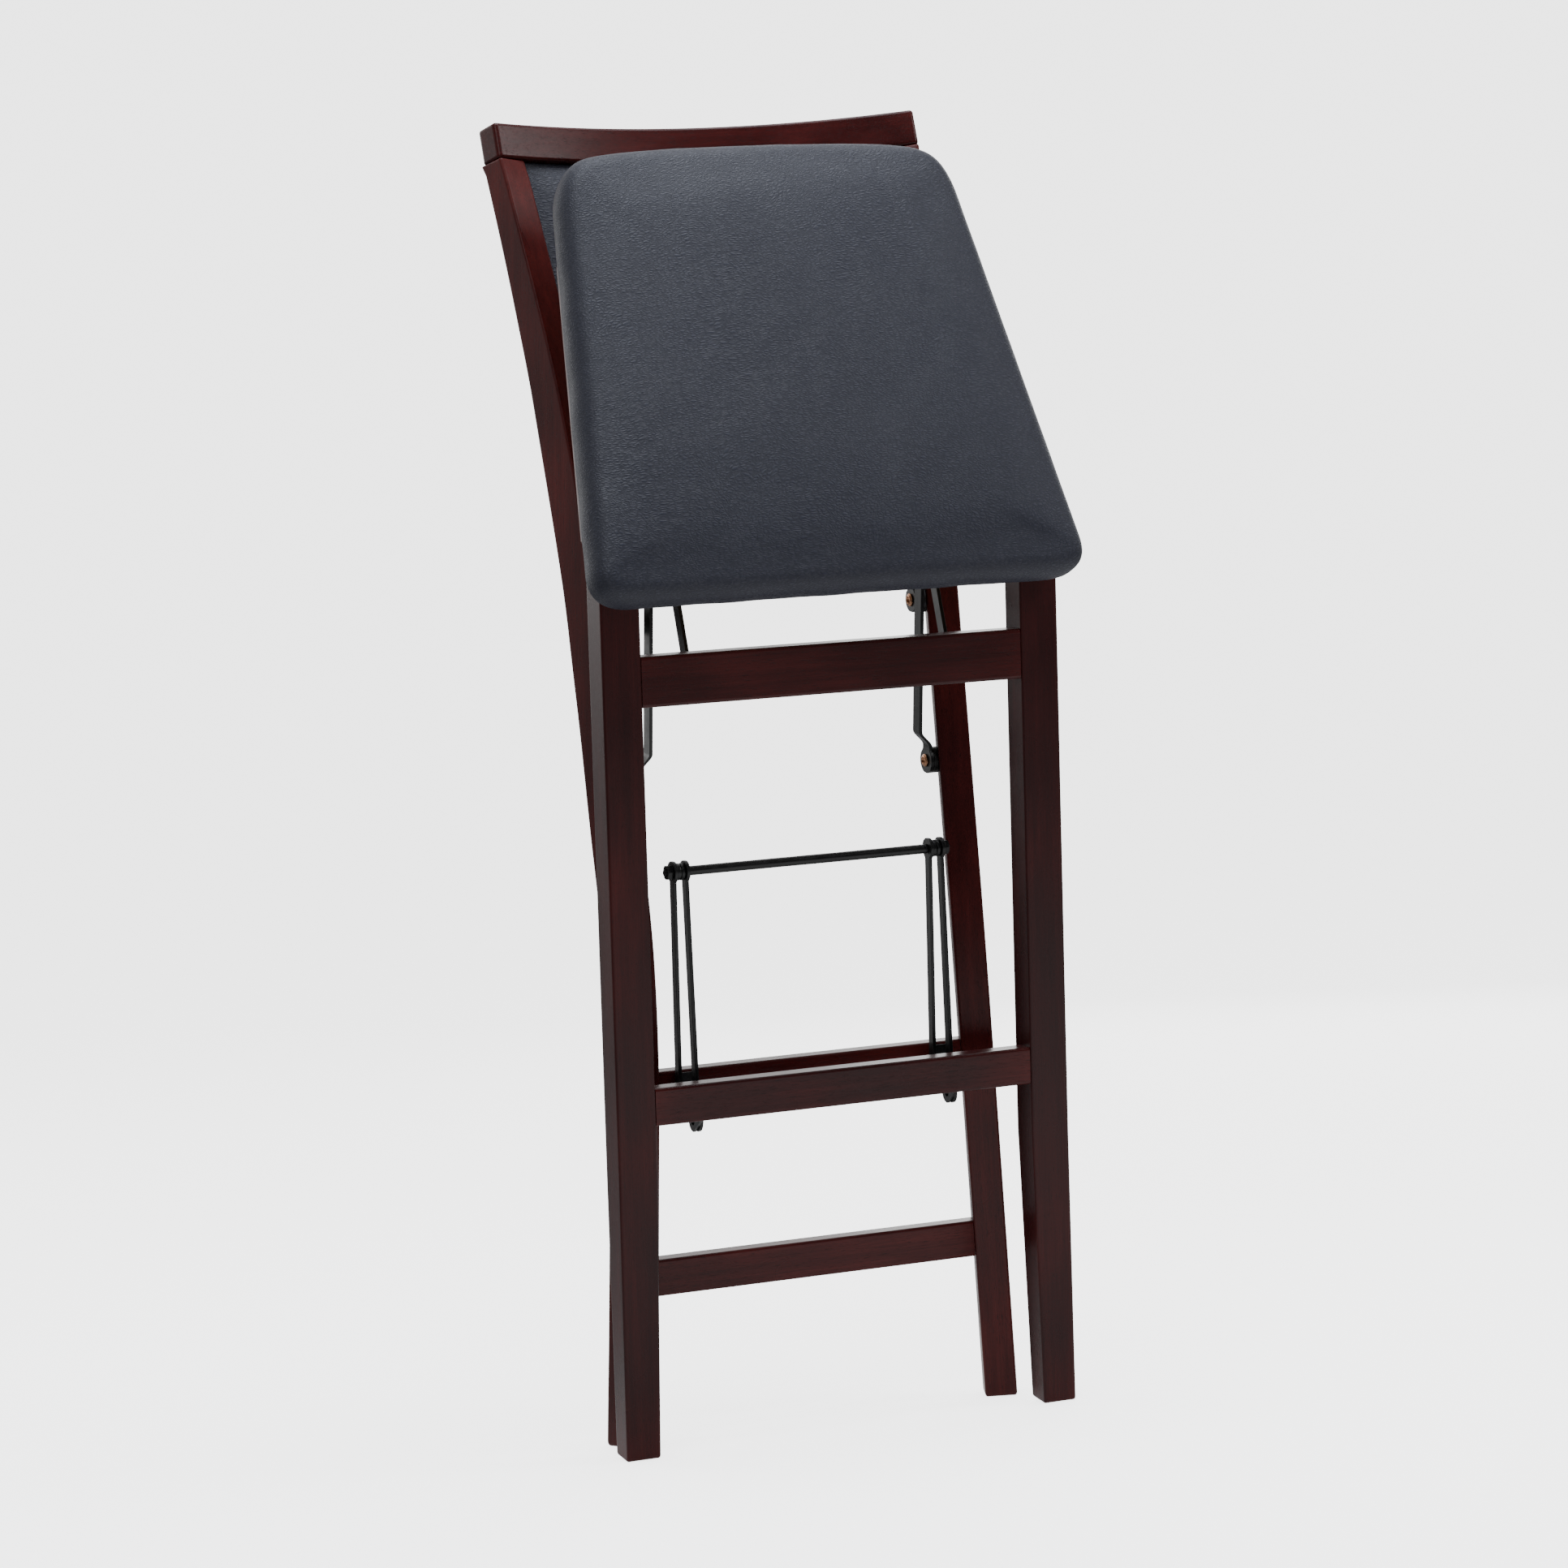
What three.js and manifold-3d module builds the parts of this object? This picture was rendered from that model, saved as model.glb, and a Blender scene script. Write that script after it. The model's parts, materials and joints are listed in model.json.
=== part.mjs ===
// Folding bar stool, shown folded, in millimetres with +Z up.
// X runs across the stool, the seat's top faces -Y, and the four feet stand on Z = 0.
// Everything is drawn in a folded frame, in which the front legs are upright, and that frame
// then leans forward by leanAngle, as the folded stool does when it stands by itself.

import * as THREE from 'three';
import * as BufferGeometryUtils from 'three/addons/utils/BufferGeometryUtils.js';
import Module from 'manifold-3d';

const wasm = await Module();
wasm.setup();

const degree = Math.PI / 180;

// Clearances
const seatGap = 0.3;
const pinClearance = 0.6;
const cutOverrun = 5;

// Folded frame
const leanAngle = 5 * degree;
const legOpenLean = 7 * degree;

// Front frame
const frontWidth = 400;
const legWidth = 33.3;
const legDepth = 29.1;
const legChamfer = 1.5;
const legTaperHeight = 230;
const legInnerTaper = 5.5;
const legOuterFlare = 1.3;
const legBackTaper = 5;
const footChamfer = 1.5;
const footRise = 2;
const footFlat = 13;
const legTopChamfer = 3;
const apronBottom = 606.2;
const apronHeight = 40.8;
const apronDepth = 19.5;
const footrestBottom = 270.4;
const footrestHeight = 30.6;
const footrestDepth = 18;
const frontRailInset = 1;
const railChamfer = 1.5;

// Rear frame: each leg is a flat board, turned about the vertical and splayed
const postTurn = 21.9 * degree;
const postSplayShare = 0.0486;
const postInset = 51.5;
const postInnerX = frontWidth / 2 - postInset;
const postFrontY = 64.8;
const postThickness = 27;
const postDepth = 32.6;
const postHeight = 1040;
const postSweep = 163.2;
const postChamfer = 1.6;
const postSteps = 22;
const postFrontShares = [
  [-0.03, 0], [0.1, 0], [0.19, 0.006], [0.29, 0.018], [0.385, 0.064], [0.48, 0.158], [0.577, 0.25],
  [0.673, 0.349], [0.808, 0.571], [0.87, 0.698], [0.933, 0.841], [1.03, 1.067],
];
const postDepthShares = [
  [-0.03, 1], [0.25, 1], [0.36, 1.025], [0.48, 1.05], [0.56, 1.075], [0.62, 1.125], [0.68, 1.15],
  [0.74, 1.125], [0.808, 1.05], [0.87, 0.955], [0.933, 0.83], [1.03, 0.694],
];
const lowStretcherBottom = 115.6;
const lowStretcherFront = 66.5;
const midStretcherBottom = 270;
const midStretcherFront = 69;
const stretcherHeight = 30.4;
const stretcherDepth = 17;

// Crest rail: a bowed rail on top of the two posts
const crestRake = 20 * degree;
const crestOverhang = 40.2;
const crestHalf = postInnerX + crestOverhang;
const crestBow = 28;
const crestHeight = 30.4;
const crestThickness = 23.8;
const crestLeadShare = 0.9375;
const crestFrontY = postFrontY + crestLeadShare * postSweep;
const crestBottomZ = postHeight - seatGap;
const crestChamfer = 2.2;
const crestSteps = 18;

// Back panel under the crest
const backHeight = 190;
const backSetBack = 3;
const backPadThickness = 6;
const backCrown = 9;
const backBoardThickness = 6;
const backCoverThickness = 3;
const backColumns = 12;
const backRows = 8;

// Seat: s runs from the front edge to the rear edge, t from the underside to the top
const seatTilt = 26.5 * degree;
const seatFrontY = -29;
const seatFrontZ = 691;
const seatDepth = 394;
const seatOverhang = 18.8;
const seatFrontHalf = frontWidth / 2 + seatOverhang;
const seatSideTaperShare = 0.1186;
const frontCornerRun = 38;
const sideStartRun = 32;
const sideEndRun = 62;
const rearCornerRun = 21;
const rearCornerShare = 0.64;
const rearCornerHalf = rearCornerShare * seatFrontHalf;
const rearBow = 10.5;
const cushionTop = 22;
const boardUnderside = 14;
const boardTopDrop = 2.3;
const boardInset = 5;
const cushionHem = 0.5;
const outlineSteps = 30;
const cushionSideShares = [
  [0, 0.3], [0.15, 0.1], [0.35, 0], [0.5, 0], [0.66, 0.12], [0.78, 0.45], [0.87, 1],
];
const cushionCrownShares = [[0.1, 0.925], [0.22, 0.96], [0.45, 0.985], [0.75, 1]];
const cushionEdgeInset = 8;
const sideRailInset = 10;
const sideRailWidth = 20;
const sideRailHeight = 23.7;
const sideRailEnd = 310;
const sideRailChamfer = 1.2;
const sideRailClearance = 1.5;

// Pivots in the folded frame, as distances back from the front legs' faces and up from the floor
const strapFootY = 108;
const strapFootZ = 531;
const linkFootY = 124;
const linkFootZ = 664;
const controlFootY = 31;
const controlFootZ = 626;
const hingeY = 14.5;
const hingeZ = 725;
const kneeY = 56;
const kneeZ = 465;
const frontBraceY = 46;
const frontBraceZ = 262;
const rearBraceY = 58;
const rearBraceZ = 278;

// Linkage: lengths between pivots, and the seat pivots along the seat
const strapLength = 293.1;
const strapSeatDrop = 39.834;
const linkSeatSpacing = 46.479;
const linkSeatDrop = 38;
const controlShare = 248 / 293.1;

// Lanes across the stool: where the inner face of each moving bar lies, from the rear leg inward
const barThickness = 3;
const bracketThickness = 2.5;
const strapFootInset = 19.7;
const controlRivetRoom = 3.7;
const footStepIn = 2.7;
const strapFootLane = postInnerX - strapFootInset;
const linkLane = strapFootLane - footStepIn;
const seatBracketLane = linkLane - 2 * seatGap - bracketThickness;
const strapLane = seatBracketLane - 2 * seatGap - barThickness;
const controlLane = strapLane - controlRivetRoom - barThickness;
const strapHalf = 6.1;
const linkHalf = 5;
const controlHalf = 5.4;
const braceHalf = 4.2;
const footEyeRadius = 11;
const seatEyeRadius = 8.5;
const controlEyeRadius = 7.5;
const braceEyeRadius = 9;
const strapJogStart = 13.5;
const strapJogEnd = 24;
const linkEyeRadius = 10.5;

// Lower brace: both pairs lie in the same order, so the left pair is the right pair moved over
const braceInset = 45.3;
const braceSpacing = 10.5;
const braceSidestep = 7.7;
const rearBraceLane = postInnerX - braceInset;
const frontBraceLane = rearBraceLane + braceSpacing;
const braceShift = rearBraceLane + frontBraceLane + barThickness + braceSidestep;

// Rivets, rod and nuts
const shankRadius = 3;
const rivetHeadRadius = 5.4;
const rivetHeadThickness = 2.4;
const smallHeadRadius = 5.2;
const smallHeadThickness = 1.8;
const roundSides = 14;
const rodRadius = 3.9;
const nutRadius = 6.4;
const nutThickness = 4.5;
const studOverhang = 2;
const washerRadius = 7;
const spacerRadius = 11;
const boltHeadRadius = 6.3;
const boltHeadThickness = 3;
const boltDepth = 24;

// Brackets
const flangeWidth = 18;
const bracketMargin = 14;
const bracketDrop = 10;
const hingeEarRadius = 9;
const hingePlateFront = 20;
const hingePlateRear = 30;
const earMargin = 2;

// Materials
const finishes = {
  wood: { color: 0x35100f, roughness: 0.35, metalness: 0 },
  ply: { color: 0x8a6b4a, roughness: 0.8, metalness: 0 },
  vinyl: { color: 0x2e2f35, roughness: 0.5, metalness: 0 },
  blackSteel: { color: 0x101112, roughness: 0.4, metalness: 0.5 },
  copper: { color: 0x9a6238, roughness: 0.35, metalness: 0.9 },
};

// Small helpers

function stationValue(table, at) {
  const points = table.map(([share, value]) => new THREE.Vector2(share, value));
  let k = 0;
  while (k < points.length - 2 && points[k + 1].x < at) {
    k += 1;
  }
  const before = points[Math.max(k - 1, 0)];
  const start = points[k];
  const end = points[k + 1];
  const after = points[Math.min(k + 2, points.length - 1)];
  const run = end.x - start.x;
  const f = (at - start.x) / run;
  const startSlope = (end.y - before.y) / (end.x - before.x);
  const endSlope = (after.y - start.y) / (after.x - start.x);
  const f2 = f * f;
  const f3 = f2 * f;
  return (2 * f3 - 3 * f2 + 1) * start.y + (f3 - 2 * f2 + f) * run * startSlope
    + (3 * f2 - 2 * f3) * end.y + (f3 - f2) * run * endSlope;
}

// A closed body from triangles, turned so that its faces point out.
function closedBody(points, triangles) {
  const geometry = new THREE.BufferGeometry();
  let volume = 0;
  for (const [a, b, c] of triangles) {
    volume += points[a].dot(new THREE.Vector3().crossVectors(points[b], points[c]));
  }
  const order = volume < 0 ? triangles.map(([a, b, c]) => [a, c, b]) : triangles;
  geometry.setAttribute('position', new THREE.Float32BufferAttribute(
    points.flatMap((p) => [p.x, p.y, p.z]), 3));
  geometry.setIndex(order.flat());
  geometry.computeVertexNormals();
  return geometry;
}

// A body through rings of points that all have the same count, closed at both ends by fans.
function loft(rings) {
  const count = rings[0].length;
  const points = rings.flat();
  const triangles = [];
  for (let k = 0; k < rings.length - 1; k += 1) {
    for (let j = 0; j < count; j += 1) {
      const a = k * count + j;
      const b = k * count + (j + 1) % count;
      triangles.push([a, b, b + count], [a, b + count, a + count]);
    }
  }
  const last = (rings.length - 1) * count;
  for (let j = 1; j < count - 1; j += 1) {
    triangles.push([0, j + 1, j], [last, last + j, last + j + 1]);
  }
  return closedBody(points, triangles);
}

// A slab between two surfaces, each a function of u and v from 0 to 1.
function slab(columns, rows, near, far) {
  const points = [];
  const triangles = [];
  for (const surface of [near, far]) {
    for (let j = 0; j <= rows; j += 1) {
      for (let i = 0; i <= columns; i += 1) {
        points.push(surface(i / columns, j / rows));
      }
    }
  }
  const wide = columns + 1;
  const layer = wide * (rows + 1);
  const quad = (a, b, c, d) => triangles.push([a, b, c], [a, c, d]);
  for (let j = 0; j < rows; j += 1) {
    for (let i = 0; i < columns; i += 1) {
      const a = j * wide + i;
      quad(a, a + 1, a + wide + 1, a + wide);
      quad(layer + a, layer + a + wide, layer + a + wide + 1, layer + a + 1);
    }
  }
  for (let i = 0; i < columns; i += 1) {
    const top = rows * wide + i;
    quad(i, layer + i, layer + i + 1, i + 1);
    quad(top, top + 1, layer + top + 1, layer + top);
  }
  for (let j = 0; j < rows; j += 1) {
    const left = j * wide;
    const right = left + columns;
    quad(left, left + wide, layer + left + wide, layer + left);
    quad(right, layer + right, layer + right + wide, right + wide);
  }
  return closedBody(points, triangles);
}

// Joining and cutting closed bodies.
function solidOf(geometry) {
  const bare = geometry.clone();
  bare.deleteAttribute('normal');
  bare.deleteAttribute('uv');
  const merged = BufferGeometryUtils.mergeVertices(bare);
  const index = merged.index.array;
  const triangles = [];
  for (let k = 0; k < index.length; k += 3) {
    const [a, b, c] = [index[k], index[k + 1], index[k + 2]];
    if (a !== b && b !== c && c !== a) {
      triangles.push(a, b, c);
    }
  }
  return new wasm.Manifold(new wasm.Mesh({
    numProp: 3,
    vertProperties: new Float32Array(merged.attributes.position.array),
    triVerts: new Uint32Array(triangles),
  }));
}

function geometryOf(solid) {
  const mesh = solid.getMesh();
  const geometry = new THREE.BufferGeometry();
  geometry.setAttribute('position', new THREE.BufferAttribute(mesh.vertProperties, 3));
  geometry.setIndex(new THREE.BufferAttribute(mesh.triVerts, 1));
  geometry.computeVertexNormals();
  return geometry;
}

function cut(geometry, ...cutters) {
  return geometryOf(cutters.reduce((solid, tool) => solid.subtract(solidOf(tool)), solidOf(geometry)));
}

function join(geometry, ...others) {
  return geometryOf(others.reduce((solid, other) => solid.add(solidOf(other)), solidOf(geometry)));
}

// Shapes are drawn in the Y-Z plane and extruded along +X.
const acrossX = new THREE.Matrix4().makeBasis(
  new THREE.Vector3(0, 1, 0), new THREE.Vector3(0, 0, 1), new THREE.Vector3(1, 0, 0));

function plate(shape, thickness, chamfer = 0) {
  const geometry = new THREE.ExtrudeGeometry(shape, {
    depth: thickness - 2 * chamfer,
    bevelEnabled: chamfer > 0,
    bevelThickness: chamfer,
    bevelSize: chamfer,
    bevelOffset: -chamfer,
    bevelSegments: 1,
    curveSegments: 8,
  });
  geometry.translate(0, 0, chamfer);
  return geometry.applyMatrix4(acrossX);
}

// A round bar along +X from x0 to x1, about the point y, z.
function roundBar(radius, x0, x1, y = 0, z = 0) {
  const geometry = new THREE.CylinderGeometry(radius, radius, x1 - x0, roundSides);
  geometry.rotateZ(Math.PI / 2);
  return geometry.translate((x0 + x1) / 2, y, z);
}

// A turned piece along +X through [x, radius] steps.
function turned(steps) {
  const profile = [[steps[0][0], 0], ...steps, [steps[steps.length - 1][0], 0]];
  const geometry = new THREE.LatheGeometry(profile.map(([x, r]) => new THREE.Vector2(r, x)), roundSides);
  return geometry.rotateZ(-Math.PI / 2);
}

function hole(y, z, radius) {
  const path = new THREE.Path();
  path.absarc(y, z, radius, 0, 2 * Math.PI, true);
  return path;
}

const pinHole = shankRadius + pinClearance;

// A flat bar with round eyes, from a pivot at the origin up to a pivot at (0, length).
// offset gives how far the bar lies to the side at a distance along it.
function eyeBar({ length, half, startRadius, endRadius, stations = [], offset = () => 0 }) {
  const runs = [];
  const eyeShares = [0.966, 0.866, 0.707, 0.5, 0.259, 0];
  for (const share of eyeShares) {
    runs.push([-startRadius * share, startRadius * Math.sqrt(1 - share * share)]);
  }
  const startNeck = Math.sqrt(startRadius ** 2 - half ** 2);
  const endNeck = Math.sqrt(endRadius ** 2 - half ** 2);
  runs.push([startNeck / 2, Math.sqrt(startRadius ** 2 - (startNeck / 2) ** 2)]);
  runs.push([startNeck, half]);
  for (const along of stations) {
    runs.push([along, half]);
  }
  runs.push([length - endNeck, half]);
  runs.push([length - endNeck / 2, Math.sqrt(endRadius ** 2 - (endNeck / 2) ** 2)]);
  for (const share of eyeShares.slice().reverse()) {
    runs.push([length + endRadius * share, endRadius * Math.sqrt(1 - share * share)]);
  }
  const rings = runs.map(([along, width]) => {
    const x = offset(along);
    return [
      new THREE.Vector3(x, -width, along),
      new THREE.Vector3(x + barThickness, -width, along),
      new THREE.Vector3(x + barThickness, width, along),
      new THREE.Vector3(x, width, along),
    ];
  });
  return loft(rings);
}

function drilled(geometry, ...places) {
  return cut(geometry, ...places.map(([x, along]) => (
    roundBar(pinHole, x - cutOverrun, x + barThickness + cutOverrun, 0, along))));
}

// Scene graph

const stool = new THREE.Group();
const folded = new THREE.Group();
folded.rotation.x = leanAngle;
stool.add(folded);

const seatFrame = new THREE.Group();
seatFrame.position.set(0, seatFrontY, seatFrontZ);
seatFrame.rotation.x = Math.PI / 2 - seatTilt;
folded.add(seatFrame);

function piece(name, geometry, finish, parent = folded) {
  const mesh = new THREE.Mesh(geometry, new THREE.MeshStandardMaterial(finishes[finish]));
  mesh.name = name;
  parent.add(mesh);
  return mesh;
}

// The twin of a right-hand piece, mirrored across the stool's middle plane.
function twin(mesh, name) {
  const geometry = mesh.geometry.index ? mesh.geometry.toNonIndexed() : mesh.geometry.clone();
  const place = geometry.attributes.position;
  for (let k = 0; k < place.count; k += 3) {
    const a = [place.getX(k), place.getY(k), place.getZ(k)];
    const b = [place.getX(k + 1), place.getY(k + 1), place.getZ(k + 1)];
    const c = [place.getX(k + 2), place.getY(k + 2), place.getZ(k + 2)];
    place.setXYZ(k, -a[0], a[1], a[2]);
    place.setXYZ(k + 1, -c[0], c[1], c[2]);
    place.setXYZ(k + 2, -b[0], b[1], b[2]);
  }
  geometry.computeVertexNormals();
  const other = new THREE.Mesh(geometry, mesh.material.clone());
  other.name = name;
  other.position.set(-mesh.position.x, mesh.position.y, mesh.position.z);
  const q = mesh.quaternion;
  other.quaternion.set(q.x, -q.y, -q.z, q.w);
  mesh.parent.add(other);
  return other;
}

function pair(name, geometry, finish, place, parent = folded) {
  const right = piece(`${name}_right`, geometry, finish, parent);
  place(right);
  twin(right, `${name}_left`);
}

// Rear legs

const postAlong = new THREE.Vector3(Math.sin(postTurn), Math.cos(postTurn), 0);
const postOut = new THREE.Vector3(1, -Math.tan(postTurn), postSplayShare).normalize();
const postUp = new THREE.Vector3().crossVectors(postOut, postAlong);
const postOrigin = new THREE.Vector3(postInnerX, postFrontY, 0);

// Where a rear leg's inner face lies across the stool.
function postFace(y, z) {
  return postInnerX - postSplayShare * z + Math.tan(postTurn) * (y - postFrontY);
}

function postLocal(y, z) {
  const p = new THREE.Vector3(postFace(y, z), y, z).sub(postOrigin);
  return new THREE.Vector2(p.dot(postAlong), p.dot(postUp));
}

// The height along the leg at which it meets a plane of the folded frame.
function postHeightAt(normal, point, along, out) {
  const reach = point.clone().sub(postOrigin).dot(normal);
  return (reach - along * normal.dot(postAlong) - out * normal.dot(postOut)) / normal.dot(postUp);
}

const floorNormal = new THREE.Vector3(0, Math.sin(leanAngle), Math.cos(leanAngle));
const floorPoint = new THREE.Vector3(0, 0, 0);
const crestUp = new THREE.Vector3(0, Math.sin(crestRake), Math.cos(crestRake));
const crestBack = new THREE.Vector3(0, Math.cos(crestRake), -Math.sin(crestRake));
const crestFoot = new THREE.Vector3(0, crestFrontY, crestBottomZ);
const postTop = crestFoot.clone().addScaledVector(crestUp, -seatGap);

function rearLegGeometry() {
  const front = [];
  const back = [];
  for (let k = 0; k <= postSteps; k += 1) {
    const share = k / postSteps;
    const y = postFrontY + postSweep * stationValue(postFrontShares, share);
    const edge = postLocal(y, share * postHeight);
    front.push(edge);
    back.push(edge.clone().setX(edge.x + postDepth * stationValue(postDepthShares, share)));
  }
  const topEdge = front[postSteps].y;
  const shape = new THREE.Shape([...back, ...front.reverse()]);
  const geometry = new THREE.ExtrudeGeometry(shape, {
    depth: postThickness - 2 * postChamfer,
    bevelEnabled: true,
    bevelThickness: postChamfer,
    bevelSize: postChamfer,
    bevelOffset: -postChamfer,
    bevelSegments: 1,
  });
  geometry.translate(0, 0, postChamfer);
  // The foot follows the floor and the top follows the crest's underside.
  const place = geometry.attributes.position;
  const band = postHeight / postSteps / 2;
  for (let k = 0; k < place.count; k += 1) {
    const along = place.getX(k);
    const up = place.getY(k);
    const out = place.getZ(k);
    if (up < band) {
      place.setY(k, up + postHeightAt(floorNormal, floorPoint, along, out));
    } else if (up > topEdge - band) {
      place.setY(k, up - topEdge + postHeightAt(crestUp, postTop, along, out));
    }
  }
  geometry.computeVertexNormals();
  return geometry;
}

pair('rear_leg', rearLegGeometry(), 'wood', (mesh) => {
  mesh.position.copy(postOrigin);
  mesh.quaternion.setFromRotationMatrix(new THREE.Matrix4().makeBasis(postAlong, postUp, postOut));
});

// Rails across the stool, with their ends on whatever face lies at endX

function sectionShape(depth, height, chamfer) {
  const shape = new THREE.Shape();
  shape.moveTo(chamfer, 0);
  shape.lineTo(depth - chamfer, 0);
  shape.lineTo(depth, chamfer);
  shape.lineTo(depth, height - chamfer);
  shape.lineTo(depth - chamfer, height);
  shape.lineTo(chamfer, height);
  shape.lineTo(0, height - chamfer);
  shape.lineTo(0, chamfer);
  return shape;
}

function crossRail(front, bottom, depth, height, endX) {
  const geometry = plate(sectionShape(depth, height, railChamfer), frontWidth);
  geometry.translate(-frontWidth / 2, front, bottom);
  const place = geometry.attributes.position;
  for (let k = 0; k < place.count; k += 1) {
    const reach = endX(place.getY(k), place.getZ(k)) - seatGap;
    place.setX(k, Math.sign(place.getX(k)) * reach);
  }
  return geometry;
}

piece('rear_low_stretcher', crossRail(
  lowStretcherFront, lowStretcherBottom, stretcherDepth, stretcherHeight, postFace), 'wood');
piece('rear_mid_stretcher', crossRail(
  midStretcherFront, midStretcherBottom, stretcherDepth, stretcherHeight, postFace), 'wood');

// Crest rail

const crestRadius = (crestHalf ** 2 + crestBow ** 2) / (2 * crestBow);

// How far the crest's front face is bowed back at a place across the stool.
function crestArc(x) {
  return crestBow - (crestRadius - Math.sqrt(crestRadius ** 2 - x ** 2));
}

function crestGeometry() {
  const halfAngle = Math.asin(crestHalf / crestRadius);
  const centreY = crestBow - crestRadius;
  const shape = new THREE.Shape();
  const points = [];
  for (const [radius, from, to] of [
    [crestRadius, -halfAngle, halfAngle],
    [crestRadius + crestThickness, halfAngle, -halfAngle],
  ]) {
    for (let k = 0; k <= crestSteps; k += 1) {
      const angle = from + (to - from) * k / crestSteps;
      points.push(new THREE.Vector2(radius * Math.sin(angle), centreY + radius * Math.cos(angle)));
    }
  }
  shape.setFromPoints(points);
  const geometry = new THREE.ExtrudeGeometry(shape, {
    depth: crestHeight - 2 * crestChamfer,
    bevelEnabled: true,
    bevelThickness: crestChamfer,
    bevelSize: crestChamfer,
    bevelOffset: -crestChamfer,
    bevelSegments: 1,
  });
  return geometry.translate(0, 0, crestChamfer);
}

const crest = piece('crest_rail', crestGeometry(), 'wood');
crest.position.copy(crestFoot);
crest.rotation.x = -crestRake;

// Back panel: pad, bent board and rear cover between the posts

function backPoint(across, down, setBack) {
  const x0 = (2 * across - 1) * postFace(crestFrontY, crestBottomZ);
  const place = crestFoot.clone()
    .addScaledVector(crestBack, crestArc(x0) + setBack)
    .addScaledVector(crestUp, -seatGap - down * backHeight);
  place.x = (2 * across - 1) * (postFace(place.y, place.z) - seatGap);
  return place;
}

function backCrownAt(across, down) {
  const u = 2 * across - 1;
  const v = 2 * down - 1;
  return backCrown * (1 - u ** 4) * (1 - v ** 4);
}

const backBoardFront = backSetBack + backPadThickness + seatGap;
const backCoverFront = backBoardFront + backBoardThickness + seatGap;

piece('back_cushion', slab(backColumns, backRows,
  (u, v) => backPoint(u, v, backSetBack - backCrownAt(u, v)),
  (u, v) => backPoint(u, v, backSetBack + backPadThickness)), 'vinyl');
piece('back_board', slab(backColumns, 1,
  (u, v) => backPoint(u, v, backBoardFront),
  (u, v) => backPoint(u, v, backBoardFront + backBoardThickness)), 'ply');
piece('back_cover', slab(backColumns, 1,
  (u, v) => backPoint(u, v, backCoverFront),
  (u, v) => backPoint(u, v, backCoverFront + backCoverThickness)), 'vinyl');

// Front legs. The top clears the underside of the seat while the leg swings.

const seatAlong = new THREE.Vector2(Math.sin(seatTilt), Math.cos(seatTilt));
const seatNormal = new THREE.Vector2(-Math.cos(seatTilt), Math.sin(seatTilt));
const hingeOffset = new THREE.Vector2(hingeY - seatFrontY, hingeZ - seatFrontZ);
const hingeRun = hingeOffset.dot(seatAlong);
const hingeDrop = -hingeOffset.dot(seatNormal);
const noseRadius = hingeDrop - boardUnderside - 2 * seatGap;
const noseOpen = Math.PI / 2 + legOpenLean;
const noseFolded = Math.PI - seatTilt;

function frontLegGeometry() {
  const topBack = (noseRadius - (legDepth - hingeY) * Math.cos(noseOpen)) / Math.sin(noseOpen);
  const topFront = (noseRadius + hingeY * Math.cos(noseFolded)) / Math.sin(noseFolded);
  const footDepth = legDepth - legBackTaper;
  const shape = new THREE.Shape();
  shape.moveTo(0, footChamfer);
  shape.lineTo(footChamfer, 0);
  shape.lineTo(footFlat, 0);
  shape.lineTo(footDepth - footChamfer, footRise);
  shape.lineTo(footDepth, footRise + footChamfer);
  shape.lineTo(legDepth, legTaperHeight);
  shape.lineTo(legDepth, hingeZ + topBack - legTopChamfer);
  shape.lineTo(legDepth - legTopChamfer, hingeZ + topBack);
  shape.absarc(hingeY, hingeZ, noseRadius, noseOpen, noseFolded, false);
  shape.lineTo(0, hingeZ + topFront);
  const geometry = plate(shape, legWidth, legChamfer);
  const place = geometry.attributes.position;
  for (let k = 0; k < place.count; k += 1) {
    const below = Math.max(0, legTaperHeight - place.getZ(k)) / legTaperHeight;
    const inner = place.getX(k) < legWidth / 2;
    place.setX(k, place.getX(k) + (inner ? legInnerTaper : legOuterFlare) * below);
  }
  return cut(geometry, roundBar(pinHole, -cutOverrun, boltDepth + pinClearance, hingeY, hingeZ));
}

const legInnerX = frontWidth / 2 - legWidth;

pair('front_leg', frontLegGeometry(), 'wood', (mesh) => {
  mesh.position.set(legInnerX, 0, 0);
});
piece('front_apron', crossRail(
  frontRailInset, apronBottom, apronDepth, apronHeight, () => legInnerX), 'wood');
piece('front_footrest', crossRail(
  frontRailInset, footrestBottom, footrestDepth, footrestHeight, () => legInnerX), 'wood');

// Seat board and cushion

// Half of the seat's outline from the middle of the front edge to the middle of the rear edge.
function seatHalfOutline(inset) {
  const side = (run) => seatFrontHalf - inset - seatSideTaperShare * run;
  const rear = seatDepth - inset;
  const path = new THREE.Path();
  path.moveTo(0, inset);
  path.lineTo(side(0) - frontCornerRun, inset);
  path.quadraticCurveTo(side(0), inset, side(sideStartRun), sideStartRun);
  path.lineTo(side(seatDepth - sideEndRun), seatDepth - sideEndRun);
  path.quadraticCurveTo(
    side(seatDepth - rearCornerRun), rear - rearCornerRun, rearCornerHalf, rear - rearBow);
  const slope = (rearCornerRun - rearBow) / (side(seatDepth - rearCornerRun) - rearCornerHalf);
  path.quadraticCurveTo(rearCornerHalf - rearBow / slope, rear, 0, rear);
  return path.getSpacedPoints(outlineSteps);
}

function seatOutline(inset) {
  const half = seatHalfOutline(inset);
  const other = half.slice(1, -1).reverse().map((p) => new THREE.Vector2(-p.x, p.y));
  return [...half, ...other];
}

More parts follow.
